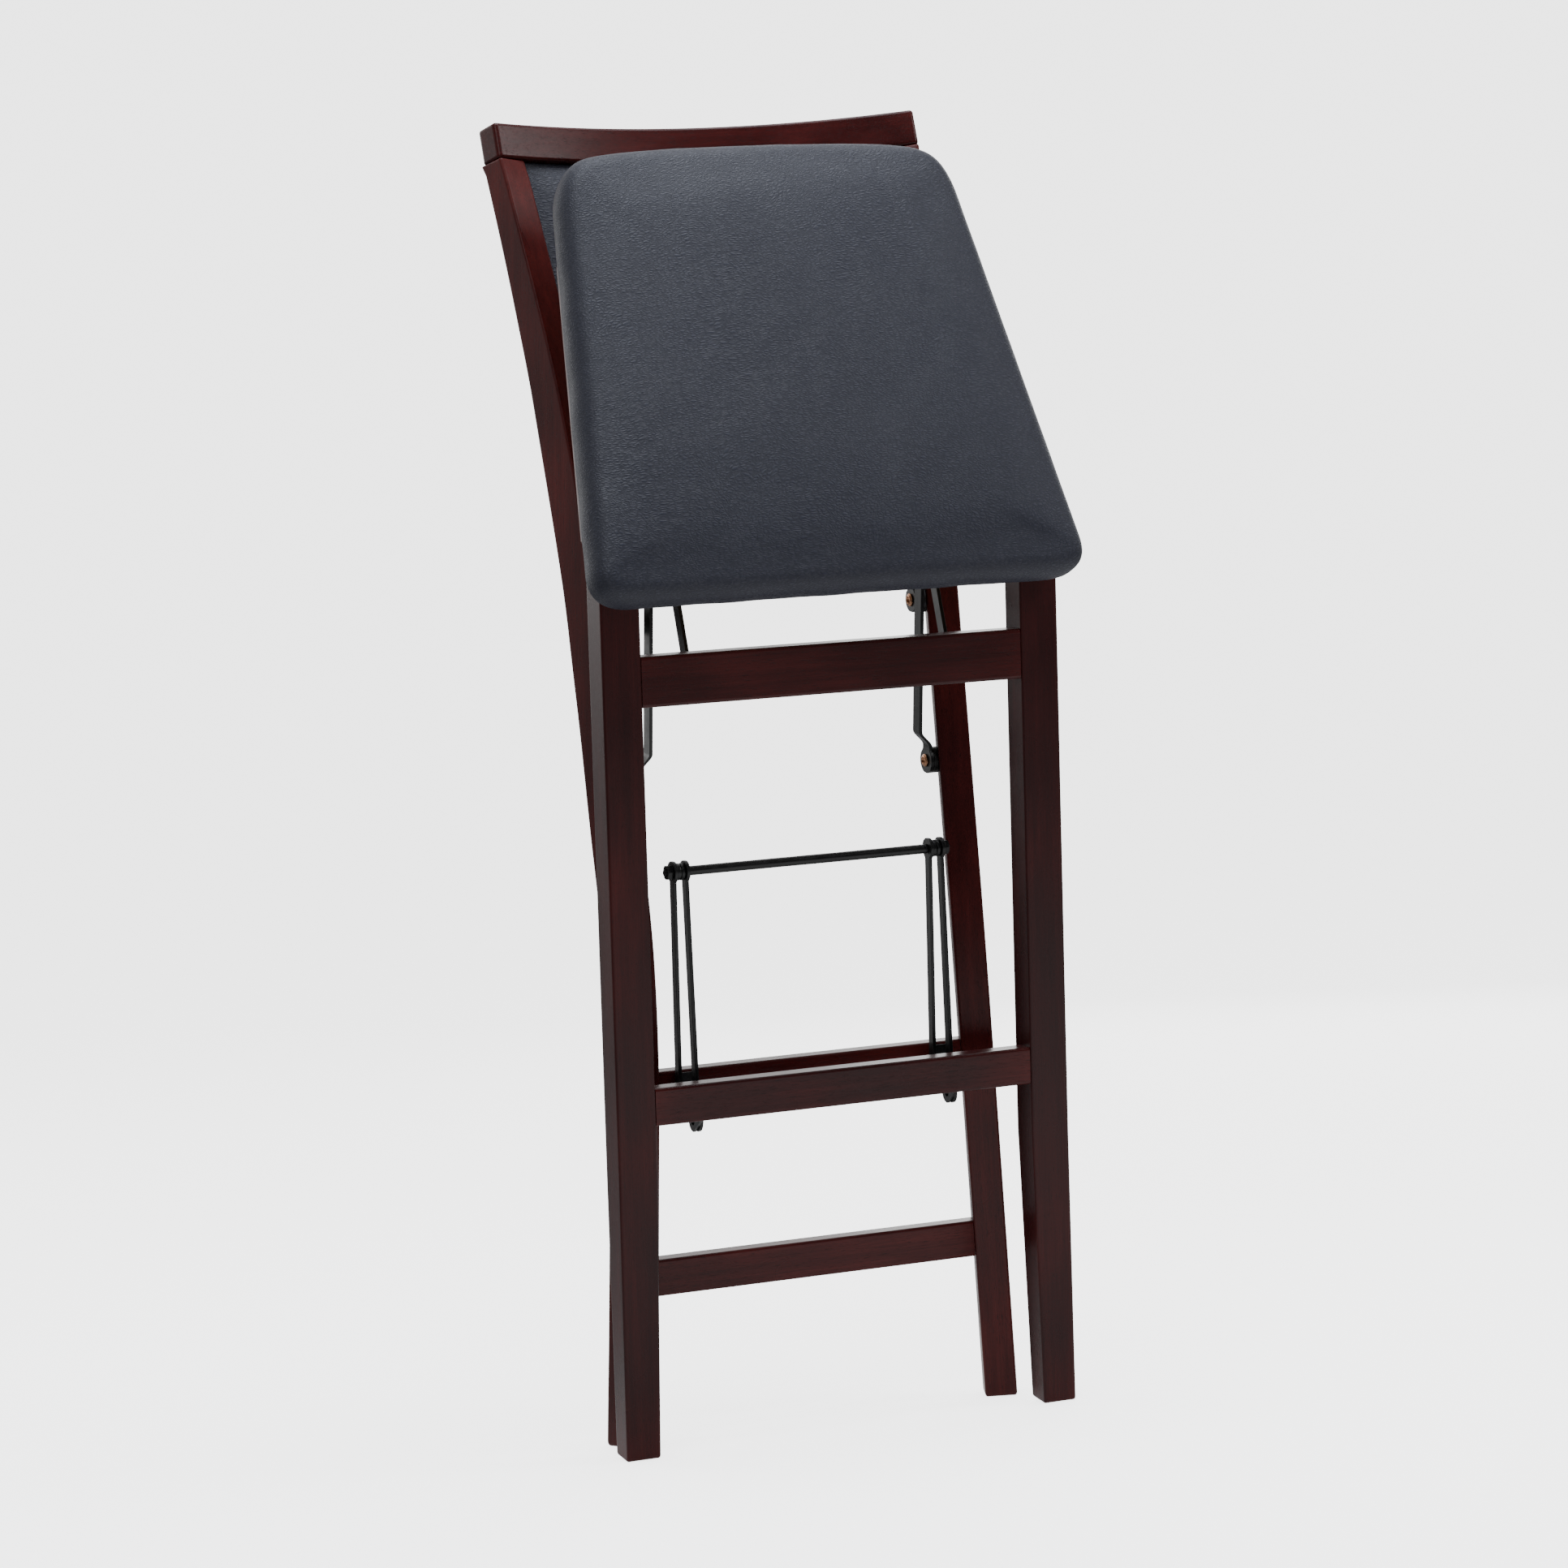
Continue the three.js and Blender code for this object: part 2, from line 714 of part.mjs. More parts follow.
function seatPrism(inset, bottom, top) {
  const shape = new THREE.Shape(seatOutline(inset));
  const geometry = new THREE.ExtrudeGeometry(shape, { depth: top - bottom, bevelEnabled: false });
  return geometry.translate(0, 0, bottom);
}

function cushionGeometry() {
  const bottom = -boardUnderside + cushionHem;
  const rise = cushionTop - bottom;
  const centre = new THREE.Vector2(0, seatDepth / 2);
  const rings = [];
  for (const [heightShare, insetShare] of cushionSideShares) {
    const height = bottom + rise * heightShare;
    rings.push(seatOutline(cushionEdgeInset * insetShare).map((p) => (
      new THREE.Vector3(p.x, p.y, height))));
  }
  const brim = seatOutline(cushionEdgeInset);
  for (const [inward, heightShare] of cushionCrownShares) {
    const height = bottom + rise * heightShare;
    rings.push(brim.map((p) => {
      const q = p.clone().lerp(centre, inward);
      return new THREE.Vector3(q.x, q.y, height);
    }));
  }
  return cut(loft(rings), seatPrism(
    boardInset - seatGap, -boardUnderside - cutOverrun, -boardTopDrop + seatGap));
}

piece('seat_board', seatPrism(boardInset, -boardUnderside, -boardTopDrop), 'ply', seatFrame);
piece('seat_cushion', cushionGeometry(), 'vinyl', seatFrame);

// Seat side rails, behind the front leg tops

const legTopReach = Math.hypot(legDepth - hingeY, noseRadius + seatGap);
const sideRailStart = hingeRun + legTopReach + sideRailClearance;

function sideRailGeometry() {
  const length = sideRailEnd - sideRailStart;
  const geometry = plate(sectionShape(length, sideRailHeight, sideRailChamfer), sideRailWidth);
  geometry.translate(-sideRailWidth, sideRailStart, -boardUnderside - seatGap - sideRailHeight);
  const place = geometry.attributes.position;
  const outer = seatFrontHalf - sideRailInset;
  for (let k = 0; k < place.count; k += 1) {
    place.setX(k, place.getX(k) + outer - seatSideTaperShare * place.getY(k));
  }
  return geometry;
}

pair('seat_rail', sideRailGeometry(), 'wood', () => {}, seatFrame);

// Straps, links and control bars

// A point under the seat, from its run along the seat and its drop below the seat's plane, and back.
function underSeat(run, drop) {
  return new THREE.Vector2(seatFrontY, seatFrontZ)
    .addScaledVector(seatAlong, run)
    .addScaledVector(seatNormal, -drop);
}

function seatLocal(point) {
  const offset = point.clone().sub(new THREE.Vector2(seatFrontY, seatFrontZ));
  return new THREE.Vector2(offset.dot(seatAlong), offset.dot(seatNormal));
}

// The strap reaches from its foot to a pivot at strapSeatDrop below the seat.
const strapFoot = new THREE.Vector2(strapFootY, strapFootZ);
const strapFootSeat = seatLocal(strapFoot);
const strapClimb = -strapFootSeat.y - strapSeatDrop;
const strapSeatRun = strapFootSeat.x + Math.sqrt(strapLength ** 2 - strapClimb ** 2);
const strapTop = underSeat(strapSeatRun, strapSeatDrop);
const strapAlong = strapTop.clone().sub(strapFoot).normalize();
const controlRun = controlShare * strapLength;
const controlTop = strapFoot.clone().addScaledVector(strapAlong, controlRun);
const linkFoot = new THREE.Vector2(linkFootY, linkFootZ);
const linkTop = underSeat(strapSeatRun + linkSeatSpacing, linkSeatDrop);
const controlFoot = new THREE.Vector2(controlFootY, controlFootZ);
const hingePoint = new THREE.Vector2(hingeY, hingeZ);

// The turn about X that points a bar from one pivot to another.
function barTurn(from, to) {
  return Math.atan2(from.x - to.x, to.y - from.y);
}

function strapOffset(along) {
  const f = THREE.MathUtils.clamp((along - strapJogStart) / (strapJogEnd - strapJogStart), 0, 1);
  return (strapFootLane - strapLane) * (1 - f);
}

const strapGeometry = drilled(
  eyeBar({
    length: strapLength,
    half: strapHalf,
    startRadius: footEyeRadius,
    endRadius: seatEyeRadius,
    stations: [strapJogStart, strapJogEnd],
    offset: strapOffset,
  }),
  [strapFootLane - strapLane, 0], [0, controlRun], [0, strapLength]);

pair('strap', strapGeometry, 'blackSteel', (mesh) => {
  mesh.position.set(strapLane, strapFoot.x, strapFoot.y);
  mesh.rotation.x = barTurn(strapFoot, strapTop);
});

const linkLength = linkFoot.distanceTo(linkTop);
pair('link', drilled(
  eyeBar({ length: linkLength, half: linkHalf, startRadius: linkEyeRadius, endRadius: seatEyeRadius }),
  [0, 0], [0, linkLength]), 'blackSteel', (mesh) => {
  mesh.position.set(linkLane, linkFoot.x, linkFoot.y);
  mesh.rotation.x = barTurn(linkFoot, linkTop);
});

const controlLength = controlFoot.distanceTo(controlTop);
pair('control_bar', drilled(
  eyeBar({
    length: controlLength,
    half: controlHalf,
    startRadius: controlEyeRadius,
    endRadius: controlEyeRadius,
  }),
  [0, 0], [0, controlLength]), 'blackSteel', (mesh) => {
  mesh.position.set(controlLane, controlFoot.x, controlFoot.y);
  mesh.rotation.x = barTurn(controlFoot, controlTop);
});

// Spacers between the lower eyes and the turned faces of the rear legs

function spacerGeometry(pivot, start) {
  const geometry = roundBar(spacerRadius, start, start + barThickness, pivot.x, pivot.y);
  const place = geometry.attributes.position;
  for (let k = 0; k < place.count; k += 1) {
    if (place.getX(k) > start + barThickness / 2) {
      place.setX(k, postFace(place.getY(k), place.getZ(k)) - seatGap);
    }
  }
  return geometry;
}

const strapSpacerStart = strapFootLane + barThickness + seatGap;
const linkSpacerStart = linkLane + barThickness + seatGap;
pair('strap_spacer', spacerGeometry(strapFoot, strapSpacerStart), 'blackSteel', () => {});
pair('link_spacer', spacerGeometry(linkFoot, linkSpacerStart), 'blackSteel', () => {});

// Rivets: a head on the inner side and a shank through the eye.
// With a farHead the rivet is closed by a second head on the outer side.

function rivetGeometry(innerFace, shankEnd, headRadius, headThickness, farHead = 0) {
  const headStart = innerFace - seatGap - headThickness;
  const steps = [
    [headStart, headRadius * 0.6],
    [headStart + headThickness * 0.4, headRadius],
    [headStart + headThickness, headRadius],
    [headStart + headThickness, shankRadius],
    [shankEnd, shankRadius],
  ];
  if (farHead > 0) {
    steps.push([shankEnd, farHead]);
    steps.push([shankEnd + headThickness * 0.6, farHead]);
    steps.push([shankEnd + headThickness, farHead * 0.6]);
  }
  return turned(steps);
}

pair('strap_rivet', rivetGeometry(
  strapFootLane, strapSpacerStart - seatGap, rivetHeadRadius, rivetHeadThickness), 'copper', (mesh) => {
  mesh.position.set(0, strapFoot.x, strapFoot.y);
});
pair('link_rivet', rivetGeometry(
  linkLane, linkSpacerStart - seatGap, rivetHeadRadius, rivetHeadThickness), 'copper', (mesh) => {
  mesh.position.set(0, linkFoot.x, linkFoot.y);
});
pair('seat_rivet', rivetGeometry(
  strapLane, seatBracketLane + bracketThickness - seatGap, rivetHeadRadius, smallHeadThickness),
'copper', (mesh) => {
  mesh.position.set(0, strapTop.x, strapTop.y);
});
// The link's rivet stops short of the seat bracket, and the control bar's of the strap.
pair('link_top_rivet', turned([
  [linkLane, shankRadius],
  [linkLane + barThickness + seatGap, shankRadius],
  [linkLane + barThickness + seatGap, rivetHeadRadius],
  [linkLane + barThickness + seatGap + smallHeadThickness, rivetHeadRadius],
]), 'copper', (mesh) => {
  mesh.position.set(0, linkTop.x, linkTop.y);
});
pair('control_rivet', rivetGeometry(
  controlLane, strapLane - 2 * seatGap - smallHeadThickness, smallHeadRadius, smallHeadThickness,
  smallHeadRadius), 'copper', (mesh) => {
  mesh.position.set(0, controlTop.x, controlTop.y);
});

// Seat brackets: a web that carries strap and link, and a flange under the board

// An ear hanging from the board's underside round one or more pivots.
function hangingEar(pivots, margin, radius, thickness) {
  const top = -boardUnderside - seatGap;
  const first = pivots[0];
  const last = pivots[pivots.length - 1];
  const shape = new THREE.Shape();
  shape.moveTo(first.x - margin, top);
  shape.lineTo(first.x - radius, first.y);
  shape.absarc(first.x, first.y, radius, Math.PI, 1.5 * Math.PI, false);
  shape.absarc(last.x, last.y, radius, 1.5 * Math.PI, 2 * Math.PI, false);
  shape.lineTo(last.x + margin, top);
  for (const pivot of pivots) {
    shape.holes.push(hole(pivot.x, pivot.y, pinHole));
  }
  return plate(shape, thickness);
}

const strapSeat = seatLocal(strapTop);
const linkSeat = seatLocal(linkTop);

function seatBracketGeometry() {
  const web = hangingEar([strapSeat, linkSeat], bracketMargin, bracketDrop, bracketThickness);
  const run = linkSeat.x - strapSeat.x + 2 * bracketMargin;
  const flange = new THREE.BoxGeometry(flangeWidth, run, bracketThickness);
  flange.translate(flangeWidth / 2, (strapSeat.x + linkSeat.x) / 2,
    -boardUnderside - seatGap - bracketThickness / 2);
  return join(web, flange);
}

pair('seat_bracket', seatBracketGeometry(), 'blackSteel', (mesh) => {
  mesh.position.set(seatBracketLane, 0, 0);
}, seatFrame);

// Seat hinges on the inner sides of the front leg tops, with a bolt into each leg

const hingeLane = legInnerX - seatGap - bracketThickness;
const hingeSeat = seatLocal(hingePoint);

function seatHingeGeometry() {
  const web = hangingEar([hingeSeat], hingePlateFront, hingeEarRadius, bracketThickness);
  const run = hingePlateFront + hingePlateRear;
  const flange = new THREE.BoxGeometry(flangeWidth, run, bracketThickness);
  flange.translate(bracketThickness - flangeWidth / 2,
    hingeSeat.x + (hingePlateRear - hingePlateFront) / 2,
    -boardUnderside - seatGap - bracketThickness / 2);
  return join(web, flange);
}

pair('seat_hinge', seatHingeGeometry(), 'blackSteel', (mesh) => {
  mesh.position.set(hingeLane, 0, 0);
}, seatFrame);
pair('leg_bolt', turned([
  [hingeLane - seatGap - boltHeadThickness, boltHeadRadius * 0.7],
  [hingeLane - seatGap - boltHeadThickness / 2, boltHeadRadius],
  [hingeLane - seatGap, boltHeadRadius],
  [hingeLane - seatGap, shankRadius],
  [legInnerX + boltDepth, shankRadius],
]), 'blackSteel', (mesh) => {
  mesh.position.set(0, hingePoint.x, hingePoint.y);
});

// Brackets on the rails: an ear round a pivot and a flange on the rail's face.
// face is where the rail's face lies, and side is +1 when the pivot is behind it.

function railBracket({ pivot, radius, face, bottom, height, side, lane, flangeOut, bored }) {
  const start = face + side * seatGap;
  const low = bottom + earMargin;
  const high = bottom + height - earMargin;
  const web = new THREE.Shape();
  const upper = new THREE.Vector2(start, high);
  const lower = new THREE.Vector2(start, low);
  const steps = roundSides / 2;
  const from = side > 0 ? -Math.PI / 2 : Math.PI / 2;
  const rim = [];
  for (let k = 0; k <= steps; k += 1) {
    const angle = from + Math.PI * k / steps;
    rim.push(new THREE.Vector2(pivot.x + radius * Math.cos(angle), pivot.y + radius * Math.sin(angle)));
  }
  const outline = side > 0 ? [lower, ...rim, upper] : [upper, ...rim, lower];
  web.setFromPoints(outline);
  if (bored) {
    web.holes.push(hole(pivot.x, pivot.y, pinHole));
  }
  const ear = plate(web, bracketThickness).translate(lane, 0, 0);
  const flange = new THREE.BoxGeometry(flangeWidth, bracketThickness, high - low);
  const middle = flangeOut > 0
    ? lane + flangeWidth / 2
    : lane + bracketThickness - flangeWidth / 2;
  flange.translate(middle, start + side * bracketThickness / 2, (low + high) / 2);
  return join(ear, flange);
}

// Apron brackets, each with its rivet through the control bar's lower eye
const apronEarLane = controlLane - seatGap - bracketThickness;
const apronBack = frontRailInset + apronDepth;
const apronRivetEnd = controlLane + barThickness + seatGap;
pair('apron_bracket', join(
  railBracket({
    pivot: controlFoot,
    radius: controlEyeRadius,
    face: apronBack,
    bottom: apronBottom,
    height: apronHeight,
    side: 1,
    lane: apronEarLane,
    flangeOut: -1,
    bored: false,
  }),
  turned([
    [apronEarLane + bracketThickness / 2, shankRadius],
    [apronRivetEnd, shankRadius],
    [apronRivetEnd, smallHeadRadius],
    [apronRivetEnd + smallHeadThickness, smallHeadRadius],
  ]).translate(0, controlFoot.x, controlFoot.y)), 'blackSteel', () => {});

// Lower brace

const knee = new THREE.Vector2(kneeY, kneeZ);
const rearBrace = new THREE.Vector2(rearBraceY, rearBraceZ);
const frontBrace = new THREE.Vector2(frontBraceY, frontBraceZ);

function braceBar(length) {
  return eyeBar({ length, half: braceHalf, startRadius: braceEyeRadius, endRadius: braceEyeRadius });
}

// A short rivet on one side of a bar or ear: a shank and a head beyond it.
function sideRivet(from, to, pivot) {
  const past = to + Math.sign(to - from) * smallHeadThickness;
  const steps = [[from, shankRadius], [to, shankRadius], [to, smallHeadRadius], [past, smallHeadRadius]];
  const geometry = turned(to > from ? steps : steps.reverse());
  return geometry.translate(0, pivot.x, pivot.y);
}

// The front bars carry the rivet at their front end, which stops short of the foot bracket.
function frontBraceGeometry() {
  const length = knee.distanceTo(frontBrace);
  const end = new THREE.Vector2(0, length);
  return join(drilled(braceBar(length), [0, 0]), sideRivet(barThickness / 2, barThickness, end));
}

function rearBraceGeometry() {
  const length = knee.distanceTo(rearBrace);
  return drilled(braceBar(length), [0, 0], [0, length]);
}

const footrestBack = frontRailInset + footrestDepth;
const footEarLane = frontBraceLane - seatGap - bracketThickness;
const stretcherEarLane = rearBraceLane + barThickness + seatGap;

function footBracketGeometry() {
  return railBracket({
    pivot: frontBrace,
    radius: braceEyeRadius,
    face: footrestBack,
    bottom: footrestBottom,
    height: footrestHeight,
    side: 1,
    lane: footEarLane,
    flangeOut: -1,
    bored: true,
  });
}

function stretcherBracketGeometry() {
  const ear = railBracket({
    pivot: rearBrace,
    radius: braceEyeRadius,
    face: midStretcherFront,
    bottom: midStretcherBottom,
    height: stretcherHeight,
    side: -1,
    lane: stretcherEarLane,
    flangeOut: 1,
    bored: false,
  });
  return join(ear, sideRivet(
    stretcherEarLane + bracketThickness / 2, rearBraceLane - seatGap, rearBrace));
}

function ringPlate(outline, thickness) {
  const shape = new THREE.Shape(outline);
  shape.holes.push(hole(0, 0, pinHole));
  return plate(shape, thickness);
}

function polygon(radius, sides) {
  const points = [];
  for (let k = 0; k < sides; k += 1) {
    const angle = 2 * Math.PI * k / sides;
    points.push(new THREE.Vector2(radius * Math.cos(angle), radius * Math.sin(angle)));
  }
  return points;
}

const washerThickness = frontBraceLane - rearBraceLane - barThickness - 2 * seatGap;
const outerNutLane = frontBraceLane + barThickness + seatGap;
const leftNutLane = rearBraceLane - braceShift - seatGap - nutThickness;

for (const [side, shift] of [['right', 0], ['left', -braceShift]]) {
  const rear = piece(`brace_rear_${side}`, rearBraceGeometry(), 'blackSteel');
  rear.position.set(rearBraceLane + shift, knee.x, knee.y);
  rear.rotation.x = barTurn(knee, rearBrace);
  const front = piece(`brace_front_${side}`, frontBraceGeometry(), 'blackSteel');
  front.position.set(frontBraceLane + shift, knee.x, knee.y);
  front.rotation.x = barTurn(knee, frontBrace);
  const foot = piece(`foot_bracket_${side}`, footBracketGeometry(), 'blackSteel');
  foot.position.x = shift;
  const stretcher = piece(`stretcher_bracket_${side}`, stretcherBracketGeometry(), 'blackSteel');
  stretcher.position.x = shift;
  const washer = piece(
    `knuckle_washer_${side}`, ringPlate(polygon(washerRadius, roundSides), washerThickness), 'blackSteel');
  washer.position.set(rearBraceLane + barThickness + seatGap + shift, knee.x, knee.y);
  const nut = piece(`knuckle_nut_${side}`, ringPlate(polygon(nutRadius, 6), nutThickness), 'blackSteel');
  nut.position.set(side === 'right' ? outerNutLane : leftNutLane, knee.x, knee.y);
}

const rodLeft = frontBraceLane + barThickness - braceShift + seatGap;
const rodRight = rearBraceLane - seatGap;
const studReach = nutThickness + studOverhang;
const rod = piece('knuckle_rod', turned([
  [rearBraceLane - braceShift - studReach, shankRadius],
  [rodLeft, shankRadius],
  [rodLeft, rodRadius],
  [rodRight, rodRadius],
  [rodRight, shankRadius],
  [frontBraceLane + barThickness + studReach, shankRadius],
]), 'blackSteel');
rod.position.set(0, knee.x, knee.y);

// The origin lies on the floor, under the middle of the folded stool.
const extent = new THREE.Box3().setFromObject(stool, true);
folded.position.y = -(extent.min.y + extent.max.y) / 2;

export default stool;
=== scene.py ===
import json
import math

import bmesh
import bpy
import numpy as np
from mathutils import Matrix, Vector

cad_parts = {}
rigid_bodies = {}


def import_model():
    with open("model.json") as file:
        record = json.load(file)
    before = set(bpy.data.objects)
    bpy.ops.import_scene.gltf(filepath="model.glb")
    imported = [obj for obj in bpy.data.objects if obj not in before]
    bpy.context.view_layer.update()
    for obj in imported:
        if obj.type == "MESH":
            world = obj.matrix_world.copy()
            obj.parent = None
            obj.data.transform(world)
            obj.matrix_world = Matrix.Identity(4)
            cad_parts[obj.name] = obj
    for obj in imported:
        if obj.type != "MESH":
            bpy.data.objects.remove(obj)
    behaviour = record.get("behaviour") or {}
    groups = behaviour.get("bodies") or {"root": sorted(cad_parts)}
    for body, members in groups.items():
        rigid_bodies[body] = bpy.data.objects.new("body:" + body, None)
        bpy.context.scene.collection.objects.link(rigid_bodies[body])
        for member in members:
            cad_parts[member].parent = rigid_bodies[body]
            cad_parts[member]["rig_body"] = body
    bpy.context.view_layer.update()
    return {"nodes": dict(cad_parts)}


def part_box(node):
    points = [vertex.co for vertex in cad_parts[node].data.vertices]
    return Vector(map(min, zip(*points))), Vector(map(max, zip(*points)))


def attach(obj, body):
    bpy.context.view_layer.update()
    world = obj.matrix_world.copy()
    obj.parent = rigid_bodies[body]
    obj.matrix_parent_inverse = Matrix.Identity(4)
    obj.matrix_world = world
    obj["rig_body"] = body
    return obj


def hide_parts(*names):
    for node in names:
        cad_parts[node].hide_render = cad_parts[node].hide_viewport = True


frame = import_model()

# A folding bar stool, folded. Shapes are worked out in millimetres in the folded frame, in which
# the front legs are upright (X right, Y back, Z up), and then placed in the row frame in metres.

MM = 1000.0
LEAN = math.radians(5.0)
SHIFT_BACK = 40.665734771
GAP = 0.3

# Front frame
FRONT_WIDTH = 400.0
LEG_WIDTH = 33.3
LEG_DEPTH = 29.1
LEG_TAPER_HEIGHT = 230.0
LEG_INNER_TAPER = 5.5
LEG_OUTER_FLARE = 1.3
LEG_BACK_TAPER = 5.0
LEG_INNER_X = FRONT_WIDTH / 2 - LEG_WIDTH
HINGE_Y = 14.5
HINGE_Z = 725.0
NOSE_RADIUS = 9.16
NOSE_OPEN = math.radians(97.0)
NOSE_FOLDED = math.radians(180.0 - 26.5)
FOOT_FLAT_Y = 13.0
FOOT_RISE = 2.0
TAPER_START = 3.5
APRON = {"front": 1.0, "bottom": 606.2, "depth": 19.5, "height": 40.8}
FOOTREST = {"front": 1.0, "bottom": 270.4, "depth": 18.0, "height": 30.6}

# Rear frame
POST_TURN = math.radians(21.9)
POST_SPLAY = 0.0486
POST_INNER_X = 148.5
POST_FRONT_Y = 64.8
POST_THICKNESS = 27.0
POST_DEPTH = 32.6
POST_HEIGHT = 1040.0
POST_SWEEP = 163.2
POST_FRONT_SHARES = np.array([
    [-0.03, 0], [0.1, 0], [0.19, 0.006], [0.29, 0.018], [0.385, 0.064], [0.48, 0.158],
    [0.577, 0.25], [0.673, 0.349], [0.808, 0.571], [0.87, 0.698], [0.933, 0.841], [1.03, 1.067],
])
POST_DEPTH_SHARES = np.array([
    [-0.03, 1], [0.25, 1], [0.36, 1.025], [0.48, 1.05], [0.56, 1.075], [0.62, 1.125],
    [0.68, 1.15], [0.74, 1.125], [0.808, 1.05], [0.87, 0.955], [0.933, 0.83], [1.03, 0.694],
])
POST_END_REACH = 14.0
LOW_STRETCHER = {"front": 66.5, "bottom": 115.6, "depth": 17.0, "height": 30.4}
MID_STRETCHER = {"front": 69.0, "bottom": 270.0, "depth": 17.0, "height": 30.4}
CREST_RAKE = math.radians(20.0)
CREST_HALF = 188.7
CREST_BOW = 28.0
CREST_RADIUS = (CREST_HALF**2 + CREST_BOW**2) / (2 * CREST_BOW)
CREST_HEIGHT = 30.4
CREST_THICKNESS = 23.8
CREST_FOOT = np.array([0.0, 217.8, 1039.7])
BACK_HEIGHT = 190.0
SIDES = (("right", 1), ("left", -1))

# Seat: s runs from the front edge to the rear edge, t from the underside to the top
SEAT_TILT = math.radians(26.5)
SEAT_FRONT = np.array([0.0, -29.0, 691.0])
SEAT_DEPTH = 394.0
SEAT_FRONT_HALF = 218.8
SEAT_TAPER = 0.1186
BOARD_UNDERSIDE = 14.0
EDGE_POINTS = 240
RAIL_START = 68.74
RAIL_END = 310.0
RAIL_HEIGHT = 23.7
RAIL_THICKNESS = 20.0
RAIL_INSET = 10.0

# Painted light on the wood: how much redder and lighter its colour is made, 1 at a board's ends as painted
# highlight, falling off over the reach below, and all over the rear frame's boards and the crest by the
# values after it, as painted light
PAINTED_LIGHT_REACH = 70.0
REAR_PAINTED_LIGHT = 1.2
CREST_PAINTED_LIGHT = 0.7

# Steel
STRAP_FOOT = np.array([0.0, 108.0, 531.0])
STRAP_TOP = np.array([0.0, 81.265, 822.879])
STRAP_JOG = 9.4
JOG_START = 13.5
JOG_END = 24.0
EDGE_ROUND = 0.00045
SHANK = 3.0
THREAD_STEP = 0.5
NUT_RADIUS = 6.4
WASHER_RADIUS = 7.0
WASHER_BORE = 3.6


def to_row(points):
    """Folded frame in millimetres to row frame in metres: a turn about X by LEAN, then a shift."""
    x, y, z = np.moveaxis(np.asarray(points, float), -1, 0)
    lean_y = y * math.cos(LEAN) - z * math.sin(LEAN) - SHIFT_BACK
    lean_z = y * math.sin(LEAN) + z * math.cos(LEAN)
    return np.stack([x, lean_y, lean_z], axis=-1) / MM


def from_seat(points):
    """Seat frame (x, s, t) to the folded frame: s climbs at SEAT_TILT from upright, t leans forward."""
    x, s, t = np.moveaxis(np.asarray(points, float), -1, 0)
    y = SEAT_FRONT[1] + s * math.sin(SEAT_TILT) - t * math.cos(SEAT_TILT)
    z = SEAT_FRONT[2] + s * math.cos(SEAT_TILT) + t * math.sin(SEAT_TILT)
    return np.stack([x, y, z], axis=-1)


# Finishes

def own_attribute(tree, name):
    """What the piece's own points hold under a name."""
    node = tree.nodes.new("ShaderNodeAttribute")
    node.attribute_name = name
    return node.outputs


def new_finish(name):
    """A material with one shader, and nothing else yet."""
    material = bpy.data.materials.new(name)
    material.use_nodes = True
    tree = material.node_tree
    tree.nodes.clear()
    shader = tree.nodes.new("ShaderNodeBsdfPrincipled")
    out = tree.nodes.new("ShaderNodeOutputMaterial")
    tree.links.new(shader.outputs[0], out.inputs[0])
    return material, tree, shader


def object_place(tree):
    """The place on the piece, in metres in the row frame."""
    return tree.nodes.new("ShaderNodeTexCoord").outputs["Object"]


def feed(tree, socket, value):
    """Gives a socket a number, a vector or a colour, or what another node puts out."""
    if isinstance(value, bpy.types.NodeSocket):
        tree.links.new(value, socket)
    else:
        socket.default_value = value


def feed_inputs(tree, node, values):
    """Feeds a node's inputs, each under its name."""
    for name, value in values.items():
        feed(tree, node.inputs[name], value)


def scaled(tree, place, scale):
    """A place, drawn out along the axes whose scale is small."""
    mapping = tree.nodes.new("ShaderNodeMapping")
    feed_inputs(tree, mapping, {"Vector": place, "Scale": scale})
    return mapping.outputs[0]


def noise(tree, place, scale, detail, roughness, stretch=(1, 1, 1)):
    """Cloudy noise, drawn out along the axes whose stretch is small."""
    texture = tree.nodes.new("ShaderNodeTexNoise")
    feed_inputs(tree, texture, {
        "Vector": scaled(tree, place, stretch), "Scale": scale, "Detail": detail, "Roughness": roughness})
    return texture.outputs["Fac"]


def ramp(tree, value, stops):
    """A colour for each value, blended between the stops."""
    node = tree.nodes.new("ShaderNodeValToRGB")
    elements = node.color_ramp.elements
    while len(elements) < len(stops):
        elements.new(0.5)
    for element, (at, colour) in zip(elements, stops):
        element.position = at
        element.color = (*colour, 1.0)
    tree.links.new(value, node.inputs[0])
    return node.outputs[0]


def levels(tree, value, low, high, to_low=0.0, to_high=1.0):
    """The value's range low to high, spread in a straight line over to_low to to_high."""
    node = tree.nodes.new("ShaderNodeMapRange")
    feed_inputs(tree, node, {
        "Value": value, "From Min": low, "From Max": high, "To Min": to_low, "To Max": to_high})
    return node.outputs[0]


def sums(tree, operation, first, second):
    """One step of arithmetic on two numbers or node outputs."""
    node = tree.nodes.new("ShaderNodeMath")
    node.operation = operation
    feed(tree, node.inputs[0], first)
    feed(tree, node.inputs[1], second)
    return node.outputs[0]


def weighed(tree, first, weight, second, other_weight):
    """first x weight + second x other_weight."""
    return sums(
        tree, "ADD", sums(tree, "MULTIPLY", first, weight), sums(tree, "MULTIPLY", second, other_weight))


